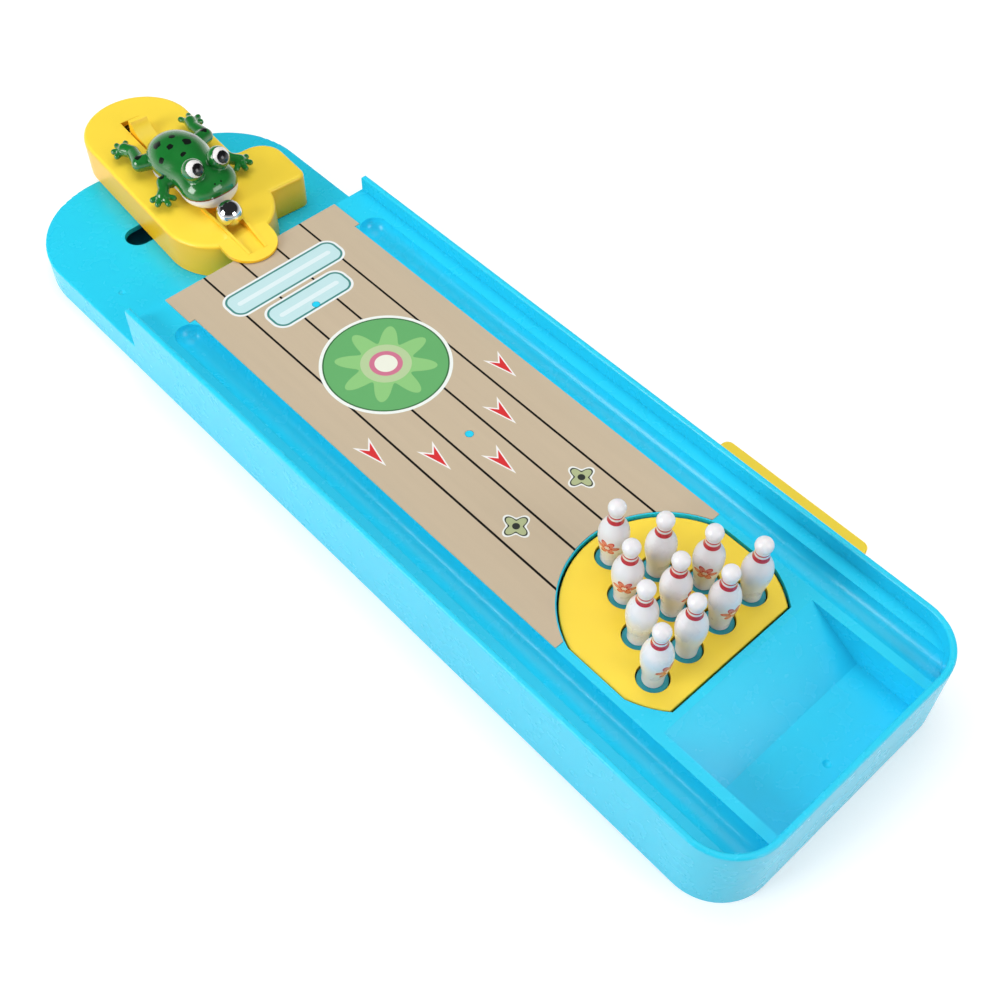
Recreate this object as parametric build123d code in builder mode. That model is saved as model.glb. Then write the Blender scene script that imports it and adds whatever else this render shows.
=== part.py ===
from build123d import *

import os
from math import cos, radians, sin, sqrt

# Tabletop bowling game: a long tray with a lane, gutters, a pit and a pin deck, and a swivelling launcher
# whose spring-loaded frog knocks a steel ball down the lane. Millimetres, +Z up, the table is Z = 0, the
# ball runs along +Y, and the lift handle is on the -X side.

os.makedirs("parts", exist_ok=True)

# Tray
tray_length = 407.0
tray_width = 120.0
lane_height = 27.0
wall_rise = 6.5
wall_thickness = 2.4
skin_thickness = 2.2
rim_radius = 0.9
end_corner_radius = 20.0
plateau_length = 95.5
plateau_height = 13.6
plateau_corner_radius = 40.0
plateau_edge_radius = 0.8
cut_overrun = 1.0

# Gutters
gutter_inner_x = 40.2
gutter_radius = 5.9
gutter_start = 22.0

# Pin deck
deck_end_distance = 78.5
deck_opening_radius = 39.1
deck_opening_half_width = 37.0
deck_opening_end = 26.2
plate_arc_clearance = 0.8
plate_side_clearance = 0.6
plate_end_clearance = 1.0
plate_thickness = 2.0
plate_recess = 0.9
plate_edge_radius = 0.5
pin_hole_radius = 5.8
pin_pitch_across = 16.0
pin_pitch_along = 14.05
pin_row_count = 4
head_pin_offset = -29.2

# Pit
pit_half_width = 36.3
pit_end_distance = 49.4
ramp_run = 22.6
pit_floor_height = 13.6

# Seats
seat_clearance = 0.4
seat_height = 25.0
seat_edge_radius = 0.5
seat_plate_thickness = 1.5
seat_plate_margin = 1.6
stop_inset = 3.6

# Lift frame and handle
lift_travel = 10.0
web_thickness = 2.5
web_inset = 1.4
web_length = 44.0
arm_width = 7.0
arm_thickness = 3.0
arm_pitch = 36.0
frame_centre_offset = -3.75
running_gap = 0.4
window_gap = 0.6
handle_length = 65.5
handle_thickness = 2.2
handle_flange = 8.6
handle_bottom = 2.8
handle_fit = 0.1
handle_corner_radius = 3.0
handle_edge_radius = 0.8
guide_width = 3.0

# Lane sheet
sheet_thickness = 0.4
sheet_wide_half_width = 42.5
sheet_wide_length = 16.5
sheet_half_width = 40.0
sheet_deck_distance = 15.5
sheet_lip = 0.5
pip_radius = 1.5
pip_gap = 0.2
pip_step_distance = 41.7
pip_deck_distance = 101.3

# Bottom cover and its screws
cover_thickness = 2.0
cover_clearance = 0.3
boss_radius = 3.5
screw_head_radius = 2.6
screw_head_height = 1.5
screw_shank_radius = 1.2
screw_length = 9.0
screw_clearance = 0.1
screw_recess_width = 0.6
screw_recess_length = 2.6
screw_recess_depth = 0.8
dimple_radius = 1.5
dimple_depth = 0.6
plateau_boss_inset = 13.0
plateau_boss_distance = 29.0
pit_boss_inset = 10.5

# Launcher
slot_distance = 53.2
slot_half_length = 28.5
slot_width = 11.8
launcher_x = -5.2
aim_angle = 4.5
launcher_gap = 0.3
launcher_height = 16.1
launcher_radius = 24.0
launcher_back = -40.9
launcher_front = 24.8
launcher_wall = 2.2
launcher_edge_radius = 1.6
wing_reach = 41.5
wing_start = -1.0
wing_end = 29.4
wing_back_radius = 11.0
wing_front_radius = 4.0
wing_blend_radius = 3.0

# Tongue, channel and ribs of the launcher
tongue_radius = 11.3
tongue_centre = 50.2
tongue_slope_start = 44.0
tongue_thickness = 1.0
tongue_gap = 0.4
tongue_edge_radius = 0.35
channel_start = 22.0
channel_end = 56.5
channel_half_gap = 5.0
channel_end_half_gap = 3.3
channel_floor_drop = 3.8
channel_floor_flat = 12.0
channel_floor_thickness = 1.5
channel_block_half_width = 8.0
rib_width = 1.2
rib_rise = 1.0
rib_level_length = 15.0

# Slide slot of the launcher, its guides and base
slide_slot_back = -49.0
slide_slot_half_width = 4.6
slide_gap = 0.3
guide_wall = 1.6
guide_depth = 4.0
rail_x = 7.0
rail_width = 1.6
rail_back = -37.0
rail_front = 15.0
base_thickness = 2.0
base_clearance = 0.2
launcher_boss_radius = 3.0
launcher_boss_x = 17.5
launcher_boss_back = -34.0
launcher_boss_front = 22.0
spring_stop_thickness = 2.0
spring_stop_half_width = 6.0

# Pivot in the tray's slot
bush_clearance = 0.3
bush_flange_radius = 9.0
bush_flange_thickness = 2.0
bush_top_drop = 0.2
pivot_radius = 3.5
pivot_running_gap = 0.1
washer_radius = 7.0
washer_thickness = 1.0
washer_gap = 0.3
pivot_screw_length = 7.0
pivot_screw_head_radius = 3.2
pivot_screw_head_height = 1.6

# Striker slide with its thumb tab
slide_half_width = 8.7
slide_thickness = 3.0
slide_back = -44.0
slide_front = 17.0
neck_front = 14.0
tab_back = -41.0
tab_half_width = 4.0
tab_rise = 6.0
tab_top_length = 2.2
tab_scoop_length = 9.0
pad_thickness = 0.8
pad_half_width = 5.5
pad_back = -22.0
striker_travel = 7.5
tail_thickness = 3.0
tail_half_width = 5.0
spring_peg_radius = 1.9
spring_peg_length = 3.0

# Return spring
spring_radius = 3.0
spring_wire_radius = 0.35
spring_turns = 8
spring_end_gap = 0.2

# Frog, in the launcher's own frame, heights above the launcher's top
frog_length = 47.8
frog_width = 26.0
frog_height = 20.0
frog_back_end = -18.5
frog_clearance = 0.8
frog_wall = 1.6
# Sections from rump to snout: place along the length, width, height of the middle, half height
frog_hull_shares = (
    (0.000, 0.18, 0.34, 0.14),
    (0.063, 0.62, 0.39, 0.30),
    (0.157, 0.86, 0.44, 0.40),
    (0.303, 1.00, 0.46, 0.455),
    (0.429, 0.97, 0.46, 0.45),
    (0.554, 0.83, 0.44, 0.42),
    (0.659, 0.88, 0.43, 0.41),
    (0.764, 0.97, 0.43, 0.41),
    (0.858, 0.93, 0.43, 0.385),
    (0.937, 0.75, 0.385, 0.33),
    (0.983, 0.48, 0.34, 0.25),
    (1.000, 0.22, 0.32, 0.13),
)
# Seam between back and belly: place along the length, and height
frog_seam_shares = ((-0.10, 0.11), (0.50, 0.15), (0.72, 0.27), (0.90, 0.39), (1.10, 0.43))
frog_eye_radius = 3.5
frog_eye_x = 6.0
frog_eye_setback = 8.9
frog_eye_rise = 19.0
frog_brow_radius = 4.1
frog_brow_offset = 1.5
frog_brow_drop = 0.5
frog_pupil_radius = 1.9
frog_pupil_thickness = 0.25
frog_gaze_side_share = 0.25
frog_gaze_rise_share = 0.55
front_leg_radius = 1.9
rear_leg_radius = 2.3
knee_clearance = 0.6
foot_radius = 2.4
foot_thickness = 2.8
toe_radius = 1.0
toe_tip_radius = 1.4
toe_length = 4.6
front_toe_spread = 50.0
rear_toe_spread = 60.0
front_foot_turn = 40.0
rear_foot_turn = 160.0
frog_post_radius = 2.6
frog_post_rise = 8.0
frog_screw_length = 9.0

# Joints of the legs: across as a share of half the frog's width, along as a share of its length, and up as a
# share of its height, from the hip or shoulder to the foot
front_leg_right_shares = ((0.60, 0.52, 0.34), (1.08, 0.50, 0.30), (1.31, 0.61, 0.25))
front_leg_left_shares = ((-0.60, 0.54, 0.34), (-1.32, 0.53, 0.30), (-1.57, 0.62, 0.25))
rear_leg_right_shares = ((0.55, 0.18, 0.33), (1.15, 0.11, 0.28), (1.05, -0.12, 0.25))
rear_leg_left_shares = ((-0.65, 0.22, 0.33), (-1.33, 0.13, 0.28), (-1.24, -0.09, 0.25))

# Ball
ball_diameter = 11.0
ball_gap = 0.3
ball_distance = 1.4

# Pins
pin_height = 31.5
pin_base_radius = 3.7
pin_belly_radius = 5.38
pin_neck_radius = 2.55
pin_head_radius = 3.15
pin_belly_height = 13.0
pin_shoulder_radius = 4.85
pin_shoulder_height = 18.2
pin_collar_radius = 3.05
pin_collar_height = 21.8
pin_neck_height = 24.4
pin_foot_radius = 0.5
pin_seat_gap = 0.1


# Heights and places that follow
half_width = tray_width / 2
front_y = -tray_length / 2
back_y = tray_length / 2
step_y = front_y + plateau_length
wall_top = lane_height + wall_rise
lane_underside = lane_height - skin_thickness
plateau_underside = plateau_height - skin_thickness
inner_half_width = half_width - wall_thickness
inner_back_y = back_y - wall_thickness
gutter_x = gutter_inner_x + gutter_radius
gutter_start_y = step_y + gutter_start
deck_y = back_y - deck_end_distance
pit_y = back_y - pit_end_distance
slot_y = step_y - slot_distance
pip_places = [(0, step_y + pip_step_distance), (0, deck_y - pip_deck_distance)]
ball_radius = ball_diameter / 2
launcher_bottom = plateau_height + launcher_gap
launcher_top = launcher_bottom + launcher_height
pin_places = [
    (pin_pitch_across * (column - row / 2), deck_y + head_pin_offset + pin_pitch_along * row)
    for row in range(pin_row_count)
    for column in range(row + 1)
]

# The launcher's own frame: x to its right, v = y along the throw, origin in the middle of its boss
aim = radians(aim_angle)
launcher_plane = Plane(origin=(launcher_x, slot_y, 0), x_dir=(cos(aim), -sin(aim), 0), z_dir=(0, 0, 1))
launcher_side = Plane(origin=launcher_plane.origin, x_dir=launcher_plane.y_dir, z_dir=launcher_plane.x_dir)


def rounded_plan(width, start, end, radius, height):
    """Plan with a square edge at start and two rounded corners at end."""
    with BuildSketch(Plane.XY.offset(height)) as plan:
        with Locations((0, (start + end) / 2)):
            Rectangle(width, abs(end - start))
        fillet(plan.vertices().group_by(Axis.Y)[-1 if end > start else 0], radius)
    return plan.sketch


def countersunk_screw(length, head_radius, head_height):
    """Screw with its head flush at Z = 0, a cross recess below and its point upwards."""
    with BuildPart() as screw:
        with BuildSketch(Plane.XZ):
            with BuildLine():
                Polyline(
                    (0, 0),
                    (head_radius, 0),
                    (screw_shank_radius, head_height),
                    (screw_shank_radius, length - screw_shank_radius),
                    (0, length),
                    (0, 0),
                )
            make_face()
        revolve(axis=Axis.Z)
        with BuildSketch():
            Rectangle(screw_recess_length, screw_recess_width)
            Rectangle(screw_recess_width, screw_recess_length)
        extrude(amount=screw_recess_depth, mode=Mode.SUBTRACT)
    return screw.part


def finish(part, name):
    """Labels a finished piece and writes it."""
    part.label = name
    export_step(part, f"parts/{name}.step")


# Base tray: the outer block, less its upper channel, gutters, pit, deck opening and inner cavity
gutter_length = inner_back_y - gutter_start_y
gutter_middle_y = gutter_start_y + gutter_length / 2
inner_corner_radius = end_corner_radius - wall_thickness
with BuildPart() as gutter_cut:
    for side in (-1, 1):
        with Locations(Location((side * gutter_x, gutter_middle_y, lane_height), (90, 0, 0))):
            Cylinder(gutter_radius, gutter_length)
        with Locations((side * gutter_x, gutter_start_y, lane_height)):
            Sphere(gutter_radius)
    gutter_bottom = lane_height - gutter_radius - cut_overrun
    extrude(
        rounded_plan(2 * inner_half_width, step_y, inner_back_y, inner_corner_radius, gutter_bottom),
        amount=gutter_radius + 2 * cut_overrun,
        mode=Mode.INTERSECT,
    )

with BuildPart() as gutter_skin:
    skin_length = gutter_length + 2 * skin_thickness
    skin_radius = gutter_radius + skin_thickness
    for side in (-1, 1):
        with Locations(Location((side * gutter_x, gutter_middle_y, lane_height), (90, 0, 0))):
            Cylinder(skin_radius, skin_length)
        with Locations((side * gutter_x, gutter_start_y, lane_height)):
            Sphere(skin_radius)


def pit_profile(growth):
    """Side view of the pit, larger all round by growth."""
    with BuildSketch(Plane.YZ) as profile:
        with BuildLine():
            Polyline(
                (pit_y, lane_height),
                (pit_y + ramp_run, pit_floor_height),
                (inner_back_y, pit_floor_height),
                (inner_back_y, lane_height + cut_overrun),
                (pit_y, lane_height + cut_overrun),
                (pit_y, lane_height),
            )
        make_face()
        if growth:
            offset(amount=growth, kind=Kind.INTERSECTION)
    return profile.sketch


with BuildPart() as pit_cut:
    extrude(pit_profile(0), amount=pit_half_width, both=True)

with BuildPart() as pit_skin:
    extrude(pit_profile(skin_thickness), amount=pit_half_width + skin_thickness, both=True)


def deck_plan(arc_inset, side_inset, end_inset, height):
    """Plan of the pin deck: a circle cut straight at both sides and at the pit."""
    with BuildSketch(Plane.XY.offset(height)) as plan:
        with Locations((0, deck_y)):
            Circle(deck_opening_radius - arc_inset)
        reach = deck_opening_radius + deck_opening_end - end_inset
        with Locations((0, deck_y + deck_opening_end - end_inset - reach / 2)):
            Rectangle(2 * (deck_opening_half_width - side_inset), reach, mode=Mode.INTERSECT)
    return plan.sketch


tray_bosses = [
    (plateau_boss_inset - half_width, step_y - plateau_boss_distance),
    (half_width - plateau_boss_inset, step_y - plateau_boss_distance),
    *pip_places,
    (0, back_y - pit_boss_inset),
]

with BuildPart() as tray_cavity:
    extrude(
        rounded_plan(2 * inner_half_width, step_y + wall_thickness, inner_back_y, inner_corner_radius, 0),
        amount=lane_underside,
    )
    extrude(
        rounded_plan(
            2 * inner_half_width,
            step_y + wall_thickness,
            front_y + wall_thickness,
            plateau_corner_radius - wall_thickness,
            0,
        ),
        amount=plateau_underside,
    )
    add(gutter_skin.part, mode=Mode.SUBTRACT)
    add(pit_skin.part, mode=Mode.SUBTRACT)
    with BuildSketch(Plane.XY.offset(cover_thickness)):
        with Locations(*tray_bosses):
            Circle(boss_radius)
    extrude(amount=lane_height, mode=Mode.SUBTRACT)

with BuildPart() as base_tray:
    extrude(rounded_plan(tray_width, step_y, back_y, end_corner_radius, 0), amount=wall_top)
    extrude(rounded_plan(tray_width, step_y, front_y, plateau_corner_radius, 0), amount=plateau_height)
    plateau_edges = base_tray.edges().filter_by_position(Axis.Z, plateau_height, plateau_height)
    fillet(plateau_edges.filter_by_position(Axis.Y, front_y, step_y, (True, False)), plateau_edge_radius)
    extrude(
        rounded_plan(
            2 * inner_half_width,
            step_y - cut_overrun,
            inner_back_y,
            inner_corner_radius,
            lane_height,
        ),
        amount=wall_rise + cut_overrun,
        mode=Mode.SUBTRACT,
    )
    fillet(base_tray.edges().group_by(Axis.Z)[-1], rim_radius)
    add(gutter_cut.part, mode=Mode.SUBTRACT)
    add(pit_cut.part, mode=Mode.SUBTRACT)
    add(tray_cavity.part, mode=Mode.SUBTRACT)
    skin_cut = skin_thickness + 2 * cut_overrun
    extrude(deck_plan(0, 0, 0, lane_underside - cut_overrun), amount=skin_cut, mode=Mode.SUBTRACT)
    # Slot that the launcher's bush runs in
    with BuildSketch(Plane.XY.offset(plateau_underside - cut_overrun)):
        with Locations((0, slot_y)):
            SlotOverall(2 * slot_half_length, slot_width)
    extrude(amount=skin_cut, mode=Mode.SUBTRACT)
    # Windows in the -X wall for the arms of the lift frame
    arm_bottom = cover_thickness + seat_plate_thickness + running_gap
    window_height = arm_thickness + lift_travel + 2 * window_gap
    arm_stations = [deck_y + frame_centre_offset + side * arm_pitch / 2 for side in (-1, 1)]
    with BuildSketch(Plane.YZ.offset(-half_width - cut_overrun)):
        with Locations(*[(y, arm_bottom - window_gap + window_height / 2) for y in arm_stations]):
            Rectangle(arm_width + 2 * window_gap, window_height)
    extrude(amount=wall_thickness + 2 * cut_overrun, mode=Mode.SUBTRACT)
    # Pilot holes in the bosses, and the sink marks above them
    with BuildSketch(Plane.XY.offset(cover_thickness)):
        with Locations(*tray_bosses):
            Circle(screw_shank_radius + screw_clearance)
    extrude(amount=screw_length - cover_thickness + screw_clearance, mode=Mode.SUBTRACT)
    sphere_radius = (dimple_radius**2 + dimple_depth**2) / (2 * dimple_depth)
    dimple_tops = [
        (tray_bosses[0], plateau_height),
        (tray_bosses[1], plateau_height),
        (tray_bosses[4], pit_floor_height),
    ]
    for (x, y), top in dimple_tops:
        with Locations((x, y, top - dimple_depth + sphere_radius)):
            Sphere(sphere_radius, mode=Mode.SUBTRACT)
    # Pips that hold the sheet
    with BuildSketch(Plane.XY.offset(lane_height)):
        with Locations(*pip_places):
            Circle(pip_radius)
    extrude(amount=sheet_thickness)
finish(base_tray.part, "base_tray")

# Bottom cover, flush with the tray's lower rim
with BuildPart() as bottom_cover:
    cover_inset = wall_thickness + cover_clearance
    cover_width = 2 * (half_width - cover_inset)
    extrude(
        rounded_plan(cover_width, step_y, back_y - cover_inset, end_corner_radius - cover_inset, 0),
        amount=cover_thickness,
    )
    extrude(
        rounded_plan(cover_width, step_y, front_y + cover_inset, plateau_corner_radius - cover_inset, 0),
        amount=cover_thickness,
    )
    seat_screw_places = [pin_places[0], pin_places[-pin_row_count], pin_places[-1]]
    with Locations(*tray_bosses, *seat_screw_places):
        Cone(
            screw_head_radius + screw_clearance,
            screw_shank_radius + screw_clearance,
            screw_head_height,
            align=(Align.CENTER, Align.CENTER, Align.MIN),
            mode=Mode.SUBTRACT,
        )
        Cylinder(
            screw_shank_radius + screw_clearance,
            cover_thickness,
            align=(Align.CENTER, Align.CENTER, Align.MIN),
            mode=Mode.SUBTRACT,
        )
finish(bottom_cover.part, "bottom_cover")

with BuildPart() as cover_screws:
    with Locations(*tray_bosses, *seat_screw_places):
        add(countersunk_screw(screw_length, screw_head_radius, screw_head_height))
finish(cover_screws.part, "cover_screws")

# Lane sheet, wide beside the ledges and narrow between the gutters, open for the deck
with BuildPart() as lane_sheet:
    with BuildSketch(Plane.XY.offset(lane_height)):
        with Locations((0, step_y + sheet_wide_length / 2)):
            Rectangle(2 * sheet_wide_half_width, sheet_wide_length)
        sheet_length = deck_y - sheet_deck_distance - step_y
        with Locations((0, step_y + sheet_length / 2)):
            Rectangle(2 * sheet_half_width, sheet_length)
        with Locations((0, deck_y)):
            Circle(deck_opening_radius + sheet_lip, mode=Mode.SUBTRACT)
        with Locations(*pip_places):
            Circle(pip_radius + pip_gap, mode=Mode.SUBTRACT)
    extrude(amount=sheet_thickness)
finish(lane_sheet.part, "lane_sheet")

# Pin plate: it lies round the seats and lifts
plate_top = lane_height - plate_recess
plate_bottom = plate_top - plate_thickness
with BuildPart() as pin_plate:
    plate_plan = deck_plan(plate_arc_clearance, plate_side_clearance, plate_end_clearance, plate_bottom)
    extrude(plate_plan, amount=plate_thickness)
    fillet(pin_plate.edges().group_by(Axis.Z)[-1], plate_edge_radius)
    with BuildSketch(Plane.XY.offset(plate_bottom)):
        with Locations(*pin_places):
            Circle(pin_hole_radius)
    extrude(amount=plate_thickness, mode=Mode.SUBTRACT)
finish(pin_plate.part, "pin_plate")

# Pin seats: ten posts on one plate, with stops under the pin plate and guides for the lift frame
plate_half_width = deck_opening_half_width - plate_side_clearance
frame_y = deck_y + frame_centre_offset
web_x = -plate_half_width + web_inset
seat_radius = pin_hole_radius - seat_clearance
seat_plate_top = cover_thickness + seat_plate_thickness
guide_x = web_x + web_thickness / 2
guide_places = [
    (guide_x, frame_y + side * (web_length / 2 + running_gap + guide_width / 2)) for side in (-1, 1)
]
stop_x = plate_half_width - stop_inset
with BuildPart() as pin_seat_base:
    seat_span_across = pin_pitch_across * (pin_row_count - 1) + 2 * (seat_radius + seat_plate_margin)
    seat_span_along = pin_pitch_along * (pin_row_count - 1) + 2 * (seat_radius + seat_plate_margin)
    seat_middle_y = deck_y + head_pin_offset + pin_pitch_along * (pin_row_count - 1) / 2
    with BuildSketch(Plane.XY.offset(cover_thickness)):
        with Locations((0, seat_middle_y)):
            Rectangle(seat_span_across, seat_span_along)
        # Strips across the plate that carry the guides and the stops
        for place in guide_places:
            with Locations(((guide_x + stop_x) / 2, place[1])):
                Rectangle(stop_x - guide_x + 2 * guide_width, guide_width)
    extrude(amount=seat_plate_thickness)
    with BuildSketch(Plane.XY.offset(seat_plate_top)):
        with Locations(*pin_places):
            Circle(seat_radius)
    extrude(amount=seat_height - seat_plate_top)
    fillet(pin_seat_base.edges().group_by(Axis.Z)[-1], seat_edge_radius)
    with BuildSketch(Plane.XY.offset(seat_plate_top)):
        with Locations(*guide_places):
            Rectangle(web_thickness, guide_width)
        with Locations(*[(stop_x, place[1]) for place in guide_places]):
            Rectangle(guide_width, guide_width)
    extrude(amount=plate_bottom - running_gap - seat_plate_top)
    with BuildSketch(Plane.XY.offset(cover_thickness)):
        with Locations(*seat_screw_places):
            Circle(screw_shank_radius + screw_clearance)
    extrude(amount=screw_length - cover_thickness + screw_clearance, mode=Mode.SUBTRACT)
finish(pin_seat_base.part, "pin_seat_base")

# Lift frame: a web under the pin plate, no longer than the plate where it comes up into the deck's opening,
# and two arms out through the wall
with BuildPart() as lift_frame:
    web_shoulder = lane_underside - lift_travel - running_gap
    with BuildSketch(Plane.XY.offset(arm_bottom)):
        with Locations((guide_x, frame_y)):
            Rectangle(web_thickness, web_length)
    extrude(amount=web_shoulder - arm_bottom)
    plate_reach = sqrt((deck_opening_radius - plate_arc_clearance) ** 2 - web_x**2)
    with BuildSketch(Plane.XY.offset(web_shoulder)):
        with Locations((guide_x, deck_y)):
            Rectangle(web_thickness, 2 * plate_reach)
    extrude(amount=plate_bottom - web_shoulder)
    arm_end = half_width + running_gap + handle_thickness
    arm_reach = arm_end + web_x + web_thickness
    with BuildSketch(Plane.XY.offset(arm_bottom)):
        with Locations(*[(-arm_end + arm_reach / 2, station) for station in arm_stations]):
            Rectangle(arm_reach, arm_width)
    extrude(amount=arm_thickness)
finish(lift_frame.part, "lift_frame")

# Lift handle: a skirt along the outside of the wall with a flange to pull on
with BuildPart() as lift_handle:
    skirt_x = -half_width - running_gap
    with BuildSketch(Plane.XY.offset(handle_bottom)):
        with Locations((skirt_x - handle_thickness / 2, frame_y)):
            Rectangle(handle_thickness, handle_length)
    extrude(amount=lane_height - handle_bottom)
    with BuildSketch(Plane.XY.offset(lane_height - handle_thickness)) as flange_plan:
        flange_width = handle_flange - running_gap
        with Locations((skirt_x - flange_width / 2, frame_y)):
            Rectangle(flange_width, handle_length)
        fillet(flange_plan.vertices().group_by(Axis.X)[0], handle_corner_radius)
    extrude(amount=handle_thickness)
    fillet(lift_handle.edges().group_by(Axis.Z)[-1], handle_edge_radius)
    with BuildSketch(Plane.XY.offset(arm_bottom - handle_fit)):
        with Locations(*[(skirt_x - handle_thickness / 2, station) for station in arm_stations]):
            Rectangle(handle_thickness, arm_width + 2 * handle_fit)
    extrude(amount=arm_thickness + 2 * handle_fit, mode=Mode.SUBTRACT)
finish(lift_handle.part, "lift_handle")


# Launcher
launcher_ceiling = launcher_top - launcher_wall
base_top = launcher_bottom + base_thickness
slide_top = launcher_ceiling - slide_gap
slide_bottom = slide_top - slide_thickness
rib_top = launcher_top + rib_rise
channel_floor = launcher_top - channel_floor_drop
tongue_bottom = lane_height + sheet_thickness + tongue_gap
tongue_tip = tongue_centre + tongue_radius
tongue_tip_top = tongue_bottom + tongue_thickness
spring_axis = launcher_ceiling - spring_radius - spring_wire_radius - slide_gap
spring_stop = launcher_back - launcher_radius + launcher_wall + spring_stop_thickness
launcher_bosses = [
    (side * launcher_boss_x, station)
    for side in (-1, 1)
    for station in (launcher_boss_back, launcher_boss_front)
]


def launcher_plan(inset, height):
    """Plan of the launcher: a long rounded body with a wing on its left, drawn in by inset."""
    radius = launcher_radius - inset
    with BuildSketch(launcher_plane.offset(height)) as plan:
        with Locations(((inset - wing_reach) / 2, (wing_start + wing_end) / 2)):
            Rectangle(wing_reach - inset, wing_end - wing_start - 2 * inset)
        fillet(plan.vertices().group_by(Axis.X)[0].sort_by(Axis.Y)[0], wing_back_radius - inset)
        fillet(plan.vertices().group_by(Axis.Y)[-1].sort_by(Axis.X)[0], wing_front_radius - inset)
        with Locations((0, launcher_back), (0, launcher_front)):
            Circle(radius)
        with Locations((0, (launcher_back + launcher_front) / 2)):
            Rectangle(2 * radius, launcher_front - launcher_back)
        fillet(plan.vertices().sort_by_distance((-radius, wing_start + inset))[0], wing_blend_radius + inset)
    return plan.sketch


with BuildPart() as launcher_cavity:
    extrude(launcher_plan(launcher_wall, launcher_bottom), amount=launcher_height - launcher_wall)
    # Floor under the channel
    block_start = channel_start - channel_floor_thickness
    with BuildSketch(launcher_plane.offset(channel_floor - channel_floor_thickness)):
        with Locations((0, (block_start + tongue_tip) / 2)):
            Rectangle(2 * channel_block_half_width, tongue_tip - block_start)
    extrude(amount=launcher_wall + channel_floor_drop, mode=Mode.SUBTRACT)
    # Guides of the slide
    guide_start = slide_back - striker_travel - slide_gap
    guide_end = slide_front + slide_gap
    guide_wall_x = slide_half_width + slide_gap + guide_wall / 2
    with BuildSketch(launcher_plane.offset(launcher_ceiling - guide_depth)):
        for side in (-1, 1):
            with Locations((side * guide_wall_x, (guide_start + guide_end) / 2)):
                Rectangle(guide_wall, guide_end - guide_start)
    extrude(amount=guide_depth, mode=Mode.SUBTRACT)
    # Bosses for the base's screws
    with BuildSketch(launcher_plane.offset(base_top)):
        with Locations(*launcher_bosses):
            Circle(launcher_boss_radius)
    extrude(amount=launcher_height, mode=Mode.SUBTRACT)
    # Stop behind the spring
    stop_depth = 2 * (spring_radius + spring_wire_radius) + slide_gap
    with BuildSketch(launcher_plane.offset(launcher_ceiling - stop_depth)):
        with Locations((0, spring_stop - spring_stop_thickness)):
            Rectangle(2 * spring_stop_half_width, 2 * spring_stop_thickness)
    extrude(amount=stop_depth, mode=Mode.SUBTRACT)

with BuildPart() as channel_ribs:
    with BuildSketch(launcher_plane.offset(tongue_bottom)):
        for side in (-1, 1):
            with BuildLine():
                Polyline(
                    (side * channel_half_gap, channel_start),
                    (side * (channel_half_gap + rib_width), channel_start),
                    (side * (channel_end_half_gap + rib_width), channel_end),
                    (side * channel_end_half_gap, channel_end),
                    (side * channel_half_gap, channel_start),
                )
            make_face()
    extrude(amount=rib_top - tongue_bottom)
    # Their tops run level past the ball and then fall with the tongue
    with BuildSketch(launcher_side):
        with BuildLine():
            Polyline(
                (channel_start, tongue_bottom),
                (channel_start, launcher_top),
                (channel_start + rib_rise, rib_top),
                (channel_start + rib_level_length, rib_top),
                (channel_end, tongue_tip_top + rib_rise / 2),
                (channel_end, tongue_bottom),
                (channel_start, tongue_bottom),
            )
        make_face()
    extrude(amount=tongue_radius, both=True, mode=Mode.INTERSECT)

with BuildPart() as channel_cut:
    with BuildSketch(launcher_plane.offset(channel_floor)):
        with BuildLine():
            Polyline(
                (-channel_half_gap, channel_start),
                (channel_half_gap, channel_start),
                (channel_end_half_gap, channel_end),
                (-channel_end_half_gap, channel_end),
                (-channel_half_gap, channel_start),
            )
        make_face()
    extrude(amount=rib_top - channel_floor + cut_overrun)
    with BuildSketch(launcher_side):
        with BuildLine():
            Polyline(
                (channel_start, channel_floor),
                (channel_start + channel_floor_flat, channel_floor),
                (tongue_slope_start, tongue_bottom + tongue_thickness / 2),
                (channel_end, tongue_tip_top - tongue_edge_radius),
                (channel_end, rib_top + cut_overrun),
                (channel_start, rib_top + cut_overrun),
                (channel_start, channel_floor),
            )
        make_face()
    extrude(amount=tongue_radius, both=True, mode=Mode.INTERSECT)

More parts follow.
